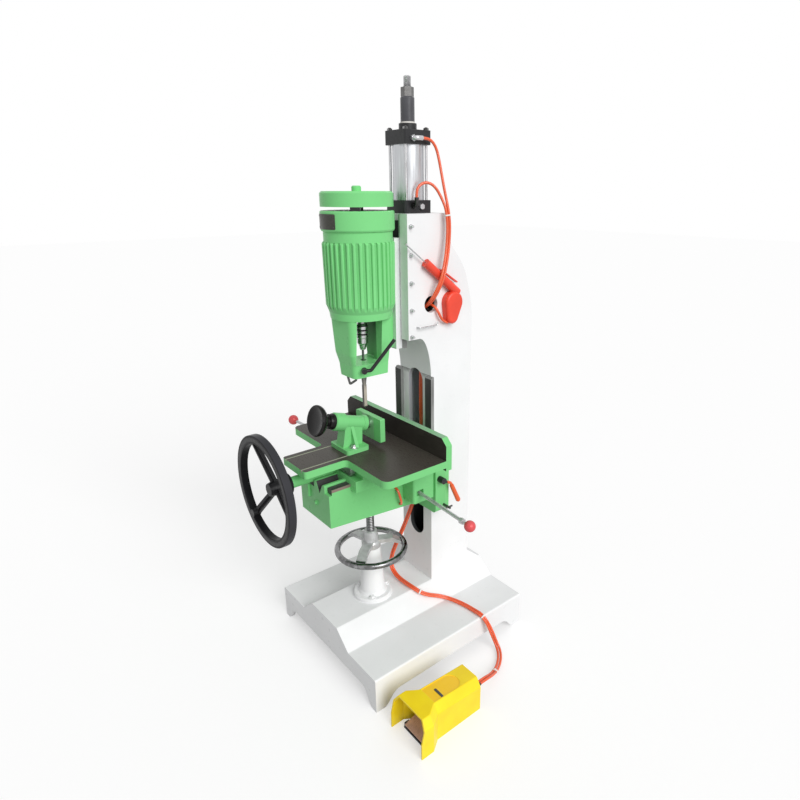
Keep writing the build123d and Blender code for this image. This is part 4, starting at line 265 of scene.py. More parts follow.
class Finish:
    """A procedural material on Object coordinates, in metres, built up in layers of colour, roughness and metal."""

    def __init__(self, name, **sockets):
        self.material = bpy.data.materials.new(name)
        self.material.use_nodes = True
        self.nodes = self.material.node_tree.nodes
        self.links = self.material.node_tree.links
        self.shader = self.nodes["Principled BSDF"]
        self.set(**sockets)
        coordinates = self.add("TexCoord")
        self.place = coordinates.outputs["Object"]
        self.facing_way = coordinates.outputs["Normal"]
        self.relief_normal = None

    def set(self, **sockets):
        """Sets what is the same all over on the shader's own sockets."""
        for socket, value in sockets.items():
            self.shader.inputs[socket.replace("_", " ")].default_value = value

    def add(self, kind, inputs=None, **settings):
        node = self.nodes.new("ShaderNode" + kind)
        for key, value in settings.items():
            setattr(node, key, value)
        for key, value in (inputs or {}).items():
            self.feed(node.inputs[key], value)
        return node

    def feed(self, socket, value):
        if isinstance(value, bpy.types.NodeSocket):
            self.links.new(value, socket)
        elif socket.type == "RGBA":
            socket.default_value = (*value, 1.0)
        else:
            socket.default_value = value

    def sum(self, operation, first, second=0.0):
        return self.add("Math", {0: first, 1: second}, operation=operation).outputs[0]

    def times(self, first, second):
        return self.sum("MULTIPLY", first, second)

    def most(self, first, second):
        return self.sum("MAXIMUM", first, second)

    def vector(self, operation, first, second=None):
        inputs = {0: first} if second is None else {0: first, 1: second}
        return self.add("VectorMath", inputs, operation=operation)

    def span(self, value, low, high, start=0.0, end=1.0):
        """A value read between low and high, and given back between start and end."""
        inputs = {"Value": value, "From Min": low, "From Max": high, "To Min": start, "To Max": end}
        return self.add("MapRange", inputs).outputs[0]

    def mix(self, share, first, second):
        return self.add("Mix", {0: share, 6: first, 7: second}, data_type="RGBA").outputs[2]

    def blend(self, share, first, second):
        return self.add("Mix", {0: share, 2: first, 3: second}, data_type="FLOAT").outputs[0]

    def noise(self, scale, detail=3.0, stretch=(1.0, 1.0, 1.0)):
        """Soft random blotches, scale of them to the metre, drawn out where stretch is below one."""
        where = self.vector("MULTIPLY", self.place, stretch).outputs[0]
        return self.add("TexNoise", {"Vector": where, "Scale": scale, "Detail": detail}).outputs[0]

    def inside(self, low, high, soft=0.0004):
        """One inside a box and nought outside: the greatest of the three distances past its faces."""
        low, high = np.asarray(low, float), np.asarray(high, float)
        past = self.vector("SUBTRACT", self.place, tuple((low + high) / 2)).outputs[0]
        past = self.vector("ABSOLUTE", past).outputs[0]
        past = self.vector("SUBTRACT", past, tuple((high - low) / 2)).outputs[0]
        x, y, z = self.add("SeparateXYZ", {0: past}).outputs
        return self.span(self.most(self.most(x, y), z), soft, -soft)

    def block(self, low, high):
        """One inside a box whose corners are in millimetres, as place takes them."""
        return self.inside(place(low), place(high))

    def height(self):
        """How high a place stands above the floor."""
        return self.add("SeparateXYZ", {0: self.place}).outputs[2]

    def near(self, centre, radius, soft=0.0008):
        """One inside a ball and nought outside."""
        far = self.vector("DISTANCE", self.place, tuple(centre)).outputs["Value"]
        return self.span(far, radius + soft, radius - soft)

    def facing(self, way, low=0.9, high=0.97):
        """One where the surface faces a way."""
        return self.span(self.vector("DOT_PRODUCT", self.facing_way, way).outputs["Value"], low, high)

    def from_axis(self, point, across=(1.0, 1.0, 0.0)):
        """How far a place stands from an axis through a point, upright unless across says otherwise."""
        past = self.vector("SUBTRACT", self.place, tuple(point)).outputs[0]
        flat = self.vector("MULTIPLY", past, across).outputs[0]
        return self.vector("LENGTH", flat).outputs["Value"]

    def edges(self, radius=0.003):
        """One on a sharp edge and nought on a flat face: how far the rounded normal leaves the true one."""
        rounded = self.add("Bevel", {"Radius": radius}, samples=8).outputs[0]
        true = self.add("NewGeometry").outputs["Normal"]
        return self.span(self.vector("DOT_PRODUCT", rounded, true).outputs["Value"], 0.985, 0.82)

    def base(self, colours, rough, metal=None):
        self.colour, self.rough, self.metal = colours, rough, metal

    def over(self, share, colours, rough, metal=None):
        """Lays another finish over the last one, where share is one."""
        self.colour = self.mix(share, self.colour, colours)
        self.rough = self.blend(share, self.rough, rough)
        if metal is not None or self.metal is not None:
            self.metal = self.blend(share, self.metal or 0.0, metal or 0.0)

    def relief(self, height, depth, strength=1.0):
        """Raises and sinks the surface by height, at most depth metres."""
        inputs = {"Height": height, "Distance": depth, "Strength": strength}
        if self.relief_normal:
            inputs["Normal"] = self.relief_normal
        self.relief_normal = self.add("Bump", inputs).outputs[0]

    def done(self):
        self.feed(self.shader.inputs["Base Color"], self.colour)
        self.feed(self.shader.inputs["Roughness"], self.rough)
        if self.metal is not None:
            self.feed(self.shader.inputs["Metallic"], self.metal)
        if self.relief_normal:
            self.feed(self.shader.inputs["Normal"], self.relief_normal)
        return self.material


# How far blotches are squeezed along each axis, so that they become streaks that run one way.
UPRIGHT, BACKWARD, SIDEWAYS, DRAWN = (8.0, 8.0, 0.4), (8.0, 0.4, 8.0), (0.5, 1.0, 14.0), (8.0, 8.0, 0.5)


def paint(name, base, gloss=0.26, chips_and_highlight=0.2, coat=0.04, shine=0.14):
    """Sprayed gloss paint on a casting: broad cloudiness, a faint pebbled skin and paler edges, worn and with a painted
    highlight.
    """
    finish = Finish(name, Coat_Weight=coat, Coat_Roughness=0.12, Specular_IOR_Level=shine)
    cloud = finish.noise(5.0, 4.0)
    skin = finish.noise(260.0, 2.0)
    sand = finish.noise(45.0, 4.0)
    finish.base(
        finish.mix(finish.span(cloud, 0.3, 0.7), tone(base, 0.96), tone(base, 1.04)),
        finish.span(sand, 0.3, 0.7, gloss, gloss + 0.14))
    # Paler edges: paint worn at the edges, and a painted edge highlight.
    edge_rub_and_highlight = finish.times(finish.edges(), finish.span(sand, 0.35, 0.75, 0.0, chips_and_highlight))
    finish.over(edge_rub_and_highlight, tuple(0.55 * part + 0.4 for part in base), gloss + 0.25)
    finish.relief(sand, 0.0004, 0.05)
    finish.relief(skin, 0.00008, 0.2)
    return finish


def iron_layer(finish, share, base, streak=(0.5, 14.0, 1.0), metal=0.1, rough=0.34, marks=(0.8, 1.35, 0.6)):
    """Ground iron laid over a share of a finish: fine streaks along the grinding and oily dark patches. Marks are the
    tones of a dark streak, a pale streak and an oily patch."""
    dark, pale, oily = marks
    grind = finish.noise(42.0, 3.0, streak)
    oil = finish.noise(9.0, 4.0)
    shade = finish.mix(finish.span(grind, 0.3, 0.7), tone(base, dark), tone(base, pale))
    shade = finish.mix(finish.span(oil, 0.45, 0.75), shade, tone(base, oily))
    finish.over(share, shade, finish.span(grind, 0.25, 0.75, rough, rough + 0.2), metal)


def steel(name, base, rough=0.25, streak=(1.0, 1.0, 12.0), grime=0.45):
    """Turned or drawn steel: fine streaks, dull oily patches and brighter edges."""
    finish = Finish(name)
    draw = finish.noise(60.0, 3.0, streak)
    oil = finish.noise(24.0, 4.0)
    shade = finish.mix(finish.span(draw, 0.3, 0.7), tone(base, 0.82), tone(base, 1.12))
    shade = finish.mix(finish.span(oil, 0.5, 0.8, 0.0, grime), shade, tone(base, 0.45))
    finish.base(shade, finish.span(draw, 0.3, 0.7, rough, rough + 0.16), 1.0)
    finish.over(finish.times(finish.edges(0.0015), 0.5), tone(base, 1.35), rough, 1.0)
    finish.relief(draw, 0.00012, 0.3)
    return finish


def thread_relief(finish, low, high, pitch, depth):
    """Thread crests every pitch between two heights: a saw wave on the height, cut off above and below."""
    height = finish.height()
    wave = finish.sum("PINGPONG", height, pitch / 2)
    part = finish.times(finish.span(height, low, low + pitch), finish.span(height, high, high - pitch))
    crest = finish.times(finish.span(wave, 0.0, pitch / 2), part)
    valley = finish.times(part, finish.span(wave, pitch / 2, 0.0, 0.0, 0.75))
    finish.colour = finish.mix(valley, finish.colour, (0.05, 0.05, 0.05))
    finish.relief(crest, depth)


def satin_black(name, base, rough=0.36, wear_and_sheen=0.5, shine=0.4):
    """Black paint gone satin, grey along its edges where worn and with a painted sheen, and dusty in patches."""
    finish = Finish(name, Specular_IOR_Level=shine)
    dust = finish.noise(14.0, 4.0)
    grain = finish.noise(120.0, 3.0)
    finish.base(
        finish.mix(finish.span(dust, 0.35, 0.75), base, tone(base, 1.9)),
        finish.span(grain, 0.3, 0.7, rough, rough + 0.14))
    # Grey edges: worn paint and a painted sheen.
    edge_rub_and_highlight = finish.times(finish.edges(0.0025), finish.span(grain, 0.3, 0.7, 0.1, wear_and_sheen))
    finish.over(edge_rub_and_highlight, (0.16, 0.16, 0.165), rough + 0.05)
    finish.relief(grain, 0.0002, 0.3)
    return finish


def moulding(name, base, rough=0.3, grain_depth=0.00025):
    """Moulded plastic: slightly uneven colour, a fine matt grain and paler scuffed edges."""
    finish = Finish(name, Specular_IOR_Level=0.45)
    cloud = finish.noise(16.0, 3.0)
    grain = finish.noise(420.0, 2.0)
    finish.base(
        finish.mix(finish.span(cloud, 0.3, 0.7), tone(base, 0.92), tone(base, 1.06)),
        finish.span(grain, 0.3, 0.7, rough, rough + 0.14))
    scuffed = finish.times(finish.edges(0.002), finish.span(cloud, 0.35, 0.7, 0.1, 0.35))
    finish.over(scuffed, tuple(0.6 * part + 0.34 for part in base), rough + 0.2)
    finish.relief(grain, grain_depth, 0.3)
    return finish


def dress(finish, *names):
    """Gives a finish to CAD nodes."""
    material = finish.done()
    for name in names:
        piece = NODES[name]
        if not piece.material_slots:
            piece.data.materials.append(material)
        for slot in piece.material_slots:
            slot.material = material


# ---------------------------------------------------------------- hoses

# The routes and the ties' places are in millimetres, as place takes them; the tie's own sizes are in metres.
TOP_ROUTE = [
    (97, 428, 1408), (101, 431, 1370), (103, 429, 1332), (107, 421, 1286), (111, 409, 1246), (113, 397, 1213),
    (107, 386, 1184), (95, 380, 1160), (77, 379, 1142), (58, 379, 1130)]
UPPER_START = [
    (62, 368, 1590), (62, 388, 1590), (63, 405, 1581), (65, 416, 1564), (70, 421, 1536), (77, 424, 1500),
    (86, 427, 1458)]
LOWER_START = [
    (62, 346, 1438), (62, 346, 1453), (63, 352, 1466), (65, 363, 1474), (69, 377, 1477), (74, 390, 1473),
    (79, 401, 1463), (84, 410, 1448), (90, 417, 1430)]
GUN_ROUTE = [
    (52, 394, 1136), (70, 394, 1135), (84, 397, 1127), (91, 403, 1112), (92, 411, 1096), (91, 423, 1084),
    (91, 437, 1078)]
PEDAL_ROUTE = [
    (58, 379, 1130), (39, 379, 1118), (29, 379, 1099), (24, 384, 1072), (17, 395, 1036), (6, 403, 988),
    (3, 405, 916), (-2, 407, 816), (3, 405, 714), (-4, 407, 622), (-12, 405, 552), (-20, 399, 490),
    (-25, 388, 436), (-27, 368, 392), (-24, 344, 354), (-28, 325, 315), (-36, 310, 276), (-42, 300, 240),
    (-36, 294, 206), (-12, 293, 187), (20, 295, 180), (54, 297, 180), (82, 301, 178), (104, 316, 164),
    (118, 343, 149), (129, 373, 138), (147, 399, 127), (177, 415, 123), (214, 424, 123), (250, 428, 123),
    (281, 429, 126), (302, 436, 106), (313, 447, 70), (323, 456, 34), (341, 456, 11), (364, 439, 7),
    (386, 412, 8), (404, 380, 13), (418, 345, 26), (426, 312, 40), (426, 282, 40)]
KNEE_ROUTE = [
    (74, 234, 584), (90, 234, 584), (100, 235, 571), (102, 239, 552), (99, 245, 534), (90, 249, 522),
    (74, 250, 522)]
TIE_PLACES = [(99, 430, 1391), (107, 309, 173), (289, 430, 121), (409, 368, 17)]
TIE_FIT, TIE_REACH = 0.0002, 0.005
TIE_HEAD, TIE_TAIL = (0.0032, 0.0029, 0.0024), (0.004, 0.0019, 0.0007)


def beside(route, shift):
    """The route moved sideways, square to its direction on the floor; where it climbs, the turn is halved."""
    moved = []
    angle = -math.pi / 2
    steps = zip(route[:1] + route, route, route[1:] + route[-1:])
    for before, here, after in steps:
        dx, dy, dz = (last - first for first, last in zip(before, after))
        steep = math.hypot(dx, dy) < abs(dz) / 2
        angle = (angle + (0 if steep else math.atan2(dx, -dy))) / 2
        moved.append((here[0] + shift * math.cos(angle), here[1] + shift * math.sin(angle), here[2]))
    return moved


def hose_curve(name, route, diameter):
    """A hose as one open NURBS spline of order 3 on the route's points."""
    data = bpy.data.curves.new(name, "CURVE")
    data.dimensions = "3D"
    spline = data.splines.new("NURBS")
    points = place(route)
    spline.points.add(len(points) - 1)
    spline.points.foreach_set("co", np.c_[points, np.ones(len(points))].ravel())
    spline.order_u = 3
    spline.use_endpoint_u = True
    spline.resolution_u = 12
    data.bevel_depth = diameter / 2
    data.bevel_resolution = 5
    data.use_fill_caps = True
    return bpy.data.objects.new(name, data)


def hose_line(hose):
    """The points along a hose's own centre line, read from its spline."""
    bare = hose.data.copy()
    bare.bevel_depth = 0
    bare.use_fill_caps = False
    reader = bpy.data.objects.new("line_reader", bare)
    mesh = bpy.data.meshes.new_from_object(reader)
    points = np.empty(len(mesh.vertices) * 3)
    mesh.vertices.foreach_get("co", points)
    bpy.data.objects.remove(reader)
    bpy.data.curves.remove(bare)
    bpy.data.meshes.remove(mesh)
    return points.reshape(-1, 3)


class MORTISER_OT_hoses(bpy.types.Operator):
    """Lays the air hoses along their routes"""

    bl_idname = "mortiser.hoses"
    bl_label = "Air hoses"

    def execute(self, context):
        sizes, colours = context.scene.mortiser_sizes, palette(context)
        finish = moulding("air_hose", colours.hose, rough=0.22, grain_depth=0.0001)
        finish.set(Coat_Weight=0.35, Subsurface_Weight=0.08, Subsurface_Radius=(0.004, 0.001, 0.0005))
        material = finish.done()
        half = sizes.hose_pair / 2 * 1000
        upper = UPPER_START + [(x, y + half, z) for x, y, z in TOP_ROUTE[:-1]] + beside(PEDAL_ROUTE, -half)
        lower = LOWER_START + [(x, y - half, z) for x, y, z in TOP_ROUTE[:-1]] + beside(PEDAL_ROUTE, half)
        laid = [
            ("air_hose_upper", upper, "frame", 2.226, "tool", ("hose_upper", "hose_pedal_left")),
            ("air_hose_lower", lower, "frame", 2.151, "object", ("hose_lower", "hose_pedal_right")),
            ("air_hose_gun", GUN_ROUTE, "frame", 0.101, "object", ("hose_gun",)),
            ("air_hose_knee", KNEE_ROUTE, "knee", 0.100, "object", ("hose_knee",))]
        for name, route, body, real_length, end, stood_for in laid:
            hose = put(hose_curve(name, route, sizes.hose), body, material)
            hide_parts(*stood_for)
        return {"FINISHED"}


class MORTISER_OT_hose_ties(bpy.types.Operator):
    """Straps the two long hoses together"""

    bl_idname = "mortiser.hose_ties"
    bl_label = "Hose ties"

    def execute(self, context):
        sizes, colours = context.scene.mortiser_sizes, palette(context)
        material = moulding("tie_nylon", colours.tie, 0.35).done()
        first, second = (hose_line(bpy.data.objects[name]) for name in ("air_hose_upper", "air_hose_lower"))
        for number, spot in enumerate(place(TIE_PLACES)):
            put(self.tie(number, spot, first, second, sizes), "frame", material)
        return {"FINISHED"}

    def tie(self, number, spot, first, second, sizes):
        """A strap round both hoses: two half circles and two straight runs, each point moved out by the strap's
        thickness and along by its width, with a block for its head."""
        at = np.argmin(np.linalg.norm(first - spot, axis=1))
        one = first[at]
        along = first[at + 2] - first[at - 2]
        along /= np.linalg.norm(along)
        two = second[np.argmin(np.linalg.norm(second - one, axis=1))]
        across = two - one
        across -= along * (across @ along)
        gap = np.linalg.norm(across)
        across /= gap
        out = np.cross(along, across)
        turn = np.linspace(0, 2 * math.pi, 56, endpoint=False)[:, None]
        section = np.array([(-0.5, 0), (0.5, 0), (0.5, 0.7), (0.35, 1), (-0.35, 1), (-0.5, 0.7)])
        width = section[None, :, 0] * sizes.tie_width
        radius = sizes.hose / 2 + TIE_FIT + section[None, :, 1] * sizes.tie_thickness
        straight = gap / 2 * np.clip(4 * np.cos(turn), -1, 1)
        middle = (one + two) / 2
        strap = middle + (straight + radius * np.cos(turn))[..., None] * across
        strap = strap + (radius * np.sin(turn))[..., None] * out + width[..., None] * along
        head_at = middle + out * (sizes.hose / 2 + sizes.tie_thickness * 1.6)
        head = rounded_block_grid(head_at, (across, along, out), TIE_HEAD)
        tail = rounded_block_grid(head_at + across * TIE_REACH, (across, along, out), TIE_TAIL)
        return mesh_piece(f"hose_tie_{number}", [(strap, True, True, False), head, tail])


# ---------------------------------------------------------------- small pieces

# Points, sections and profiles, and what rounds a section, are in millimetres, as place takes them. Other lengths are
# in metres, and turns in degrees.
FLANGE_THICK, FIRST_BOLT = 0.013, 84
VISE_BOLTS = [(-32, 123, 735), (32, 123, 735)]
KNEE_PLUGS = [(7, 0, 583)]
PLATE_TURN, PLATE_DROP, PLATE_CORNER = -93, 0.001, 0.0035
RIVET_RADIUS, RIVET_RISE, RIVET_INSET = 0.0022, 0.0009, 0.005
VISE_LEAN, VISE_WHEEL_FRONT = 16, (0, 24, 834)
VISE_WHEEL_PROFILE = [
    (0.4, -1.6), (8, -1.7), (16, -2.1), (24, -3.0), (31, -4.4), (37, -6.2), (40.5, -7.3), (42.6, -7.5),
    (44.4, -7.0), (45.5, -5.8), (46.0, -4.0), (46.0, -2.0), (45.6, 1.0), (44.2, 4.6), (41.4, 9.0), (37.0, 13.2),
    (30.0, 17.4), (23.0, 20.2), (18.0, 22.2), (15.4, 24.4), (14.2, 27.0), (14, 29), (14, 35.2), (14.2, 35.7),
    (21.4, 35.8), (22, 36.4), (22, 46.2), (22.2, 46.8), (23.8, 47.4), (24, 47.8), (24, 52.4), (23.8, 52.7),
    (7.2, 52.75), (7, 53), (7, 145.8), (6.8, 146), (0.4, 146)]
VEE_MIDDLE, LIP_ENDS = 30, (0.06, 344.8)
LIP_SECTION = [
    (36, 632.95), (36.5, 634), (47.5, 654.2), (48.6, 655.7), (50.2, 656.6), (52, 656.8), (56.5, 656.8),
    (58.5, 656.3), (59.6, 655.2), (60, 653.5), (60, 632.95)]
KNEE_PLATE, KNEE_PLATE_HALF = (-48, -3.4, 611), (0.021, 0.0035, 0.021)
CHEEK_SIDES, CHEEK_HEIGHTS, CHEEK_ROUND = (96.3, 140.9), (562.95, 581.05), 7.9
CHEEK_FRONT, CHEEK_REAR = (262.1, 272.2), (299.8, 330.9)
RIM_CENTRE = (-20, 0, 658)
RIM_CORNERS = [(162.3, -131.7), (141.7, -131.7), (141.7, -150.1), (162.3, -150.1)]
RIM_EDGE, RIM_LEAD = 1.8, 0.8
WIRE_CORNERS = [(-4, 135, 949), (-3, 142, 920), (7, 159, 932), (-2, 151, 948)]
VALVE_LEAN, VALVE_PLATE, VALVE_PLATE_HALF = -3.5, (431, 116, 114.4), (0.0175, 0.004, 0.0016)


class MORTISER_OT_bolts(bpy.types.Operator):
    """Sets the pedestal's flange bolts, the vise's foot bolts and the plug in the knee's front"""

    bl_idname = "mortiser.bolts"
    bl_label = "Bolts"

    def execute(self, context):
        """The flange's bolts stand evenly round a circle on its top."""
        sizes, colours = context.scene.mortiser_sizes, palette(context)
        low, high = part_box("pedestal")
        middle = (low + high) / 2
        turn = np.radians(FIRST_BOLT + 360 / sizes.bolt_count * np.arange(sizes.bolt_count))
        flange = np.c_[
            middle.x + sizes.bolt_circle * np.cos(turn), middle.y + sizes.bolt_circle * np.sin(turn),
            np.full(len(turn), low.z + FLANGE_THICK)]
        white = paint("bolt_white", colours.white_paint)
        zinc = steel("bolt_zinc", colours.bright_steel, rough=0.3)
        green = paint("plug_green", knee_green(colours))
        up, forward = (0, 0, 1), (0, -1, 0)
        for name, spots, way, across, body, finish, slot in (
                ("pedestal_bolts", flange, up, sizes.bolt, "frame", white, "white_paint"),
                ("vise_bolts", place(VISE_BOLTS), up, sizes.vise_bolt, "table", zinc, "steel"),
                ("knee_plug", place(KNEE_PLUGS), forward, sizes.knee_plug, "knee", green, "green_paint")):
            grids = [bolt_grid(spot, way, across) for spot in spots]
            put(mesh_piece(name, grids, False), body, finish.done())
        return {"FINISHED"}


class MORTISER_OT_motor_plate(bpy.types.Operator):
    """Wraps the bare plate on the motor's end ring, with its four rivets"""

    bl_idname = "mortiser.motor_plate"
    bl_label = "Motor plate"

    def execute(self, context):
        sizes, base = context.scene.mortiser_sizes, palette(context).plate
        low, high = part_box("motor_end_ring")
        plate = self.plate((low + high) / 2, (high.x - low.x) / 2, sizes)
        finish = Finish("plate_aluminium", Specular_IOR_Level=0.4)
        brushed = finish.noise(90.0, 3.0, (1.0, 1.0, 14.0))
        smear = finish.noise(30.0, 4.0)
        finish.base(
            finish.mix(finish.span(brushed, 0.3, 0.7), tone(base, 0.75), tone(base, 1.4)),
            finish.span(smear, 0.3, 0.7, 0.3, 0.55), 0.6)
        # Pale edges at four times the plate's tone: a painted edge highlight, on the rivets' rims too.
        finish.over(finish.times(finish.edges(0.001), 0.6), tone(base, 4.0), 0.35, 0.6)
        finish.relief(brushed, 0.0001, 0.4)
        put(plate, "head", finish.done())
        return {"FINISHED"}

    def plate(self, centre, radius, sizes):
        """A flat section carried round the ring, its height drawn in at both ends along the corners' circle, and a low
        dome on each rivet."""
        half, tall, thick = sizes.plate_width / 2, sizes.plate_height / 2, sizes.plate_thickness

        def wrap(along, height, out):
            turn = math.radians(PLATE_TURN) + along / radius
            return np.stack([
                centre.x + (radius + out) * np.cos(turn), centre.y + (radius + out) * np.sin(turn),
                centre.z - PLATE_DROP + height], axis=-1), False, True, True

        along = half * np.sin(np.linspace(-math.pi / 2, math.pi / 2, 81))[:, None]
        past = np.clip(np.abs(along) - (half - PLATE_CORNER), 0, PLATE_CORNER)
        height = tall - PLATE_CORNER + np.sqrt(PLATE_CORNER ** 2 - past ** 2 + 1e-9)
        section = np.array([(-1, -0.9), (-1, 0.6), (-0.97, 1), (0.97, 1), (1, 0.6), (1, -0.9)])
        grids = [wrap(along, height * section[None, :, 0], section[None, :, 1] * thick + 0 * along)]
        turn = np.linspace(0, 2 * math.pi, 20, endpoint=False)[None, :]
        fall = np.linspace(0.02, 1, 6)[:, None]
        dome = thick * 0.9 + RIVET_RISE * np.sqrt(1.0004 - fall ** 2) + 0 * turn
        for side, end in ((-1, -1), (-1, 1), (1, -1), (1, 1)):
            grids.append(wrap(
                side * (half - RIVET_INSET) + RIVET_RADIUS * fall * np.cos(turn),
                end * (tall - RIVET_INSET) + RIVET_RADIUS * fall * np.sin(turn), dome))
        return mesh_piece("motor_plate", grids)


class MORTISER_OT_vise_wheel(bpy.types.Operator):
    """Turns the vise's smooth black wheel, with its collar and screw"""

    bl_idname = "mortiser.vise_wheel"
    bl_label = "Vise wheel"

    def execute(self, context):
        """The profile of (radius, distance) in millimetres is carried round the screw's line."""
        lean = math.radians(VISE_LEAN)
        line = (0, math.cos(lean), -math.sin(lean))
        grid = turned_grid(np.array(VISE_WHEEL_PROFILE) * 0.001, place(VISE_WHEEL_FRONT), line, 96)
        knob = moulding("knob_black", palette(context).black_knob, rough=0.14, grain_depth=0.00004)
        knob.set(Specular_IOR_Level=0.16)
        wheel = put(mesh_piece("vise_knob", [grid]), "vise_drive", knob.done())
        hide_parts("vise_wheel")
        return {"FINISHED"}


class MORTISER_OT_knee_ways(bpy.types.Operator):
    """Stands the vee way's two lips on the knee and fits the plate on its front"""

    bl_idname = "mortiser.knee_ways"
    bl_label = "Knee ways"

    def execute(self, context):
        """Each lip is a section of (x, z) carried straight back; the second mirrors the first."""
        colours = palette(context)
        right = np.array(LIP_SECTION)
        left = right * (-1, 1) + (2 * VEE_MIDDLE, 0)
        lips = mesh_piece("vee_lips", [straight_grid(lip, LIP_ENDS, 1) for lip in (right, left)], False)
        finish = paint("lip_green", knee_green(colours))
        flanks = finish.block((11.6, 1, 632), (48.4, 345, 655.4))
        iron_layer(finish, flanks, tone(colours.way_iron, 0.5), BACKWARD, metal=0.3)
        put(lips, "knee", finish.done())
        plate = rounded_block_grid(place(KNEE_PLATE), np.eye(3), KNEE_PLATE_HALF, 0.08, 33, 64)
        finish = paint("plate_green", knee_green(colours))
        put(mesh_piece("knee_plate", [plate]), "knee", finish.done())
        return {"FINISHED"}


class MORTISER_OT_lever_cheeks(bpy.types.Operator):
    """Fills the knee block's slot in front of and behind the ball lever's hub"""

    bl_idname = "mortiser.lever_cheeks"
    bl_label = "Lever cheeks"

    def execute(self, context):
        """Each cheek is a section of (x, y) carried straight up; the front one has a rounded corner."""
        inner, outer = CHEEK_SIDES
        (front, before), (behind, rear) = CHEEK_FRONT, CHEEK_REAR
        turn = np.linspace(0, math.pi / 2, 9)
        corner = np.c_[outer - CHEEK_ROUND * (1 - np.sin(turn)), front + CHEEK_ROUND * (1 - np.cos(turn))]
        sections = (
            np.vstack([(inner, front), corner, (outer, before), (inner, before)]),
            [(inner, behind), (outer, behind), (outer, rear), (inner, rear)])
        grids = [straight_grid(section, CHEEK_HEIGHTS, 2) for section in sections]
        finish = paint("cheek_green", knee_green(palette(context)))
        put(mesh_piece("lever_cheeks", grids, False), "knee", finish.done())
        return {"FINISHED"}


class MORTISER_OT_feed_rim(bpy.types.Operator):
    """Squares the edges of the feed wheel's rim"""

    bl_idname = "mortiser.feed_rim"
    bl_label = "Feed wheel rim"

    def execute(self, context):
        """A section of (radius, depth) in millimetres, a rectangle with its edges just broken, is carried round the
        wheel's axis."""
        black, centre = palette(context).black_paint, place(RIM_CENTRE)
        turn = np.radians(90 * np.arange(4)[:, None] + (0, 0, 22.5, 45, 67.5, 90, 90))
        lead = RIM_LEAD * np.array((-1, 0, 0, 0, 0, 0, 1))
        radius, depth = np.array(RIM_CORNERS).T[..., None]
        section = np.c_[
            (radius + RIM_EDGE * np.cos(turn) - lead * np.sin(turn)).ravel(),
            (depth + RIM_EDGE * np.sin(turn) + lead * np.cos(turn)).ravel()]
        points = turned_grid(section * 0.001, centre, (0, 1, 0), 160)[0]
        finish = satin_black("rim_black", black, rough=0.28, wear_and_sheen=0.3, shine=0.05)
        # The rim's outer face is paler: a painted highlight, and the polish of hands.
        polish_and_highlight = finish.span(finish.from_axis(centre, (1.0, 0.0, 1.0)), 0.1630, 0.1637)
        finish.over(polish_and_highlight, tone(black, 5.5), 0.3)
        put(mesh_piece("feed_rim", [(points, True, True, False)]), "feed_drive", finish.done())
        return {"FINISHED"}


class MORTISER_OT_drip_wire(bpy.types.Operator):
    """Hangs the bent wire under the chuck housing"""

    bl_idname = "mortiser.drip_wire"
    bl_label = "Bent wire"

    def execute(self, context):
        path = curved_path(place(WIRE_CORNERS))
        wire = tube_grid(path, context.scene.mortiser_sizes.wire / 2, 14, (1.0, 0.1, 0.05))
        finish = steel("wire_steel", palette(context).dark_steel, rough=0.3)
        put(mesh_piece("bent_wire", [wire]), "head", finish.done())
        return {"FINISHED"}


class MORTISER_OT_valve_plate(bpy.types.Operator):
    """Fits the bare plate on top of the foot valve's guard"""

    bl_idname = "mortiser.valve_plate"
    bl_label = "Foot valve plate"

    def execute(self, context):
        lean = math.radians(VALVE_LEAN)
        axes = ((1, 0, 0), (0, math.cos(lean), math.sin(lean)), (0, -math.sin(lean), math.cos(lean)))
        plate = rounded_block_grid(place(VALVE_PLATE), axes, VALVE_PLATE_HALF, 0.25)
        finish = steel("plate_grey", palette(context).dark_steel, rough=0.4)
        put(mesh_piece("valve_plate", [plate]), "frame", finish.done())
        return {"FINISHED"}


# ---------------------------------------------------------------- finishes on the CAD nodes

# Points are in millimetres, as place takes them, and boxes of them say where a finish changes. Other lengths, and
# heights above the floor, are in metres.
LIFT_AXIS, GUARD_TAIL, GRIP_FRONT = (0, 190, 0), (421, 167, 0), (0, 376, 0)
BALLS = {"left_lever": (-366.5, 128.5, 702.5), "right_lever": (366.5, 286, 557.5)}
BALL_RADIUS, LEVER_HUB = 0.0175, (122, 286, 0)
CHUCK_GROOVES = (1.0645, 1.0765, 1.089)
ROD_THREAD, ROD_PITCH, SCREW_PITCH = 0.034, 0.003, 0.006
TIE_ROD_NUT, CAP_BUMPER = 0.0085, 0.004
RIB_SHADE = (0.004, 0.0065)


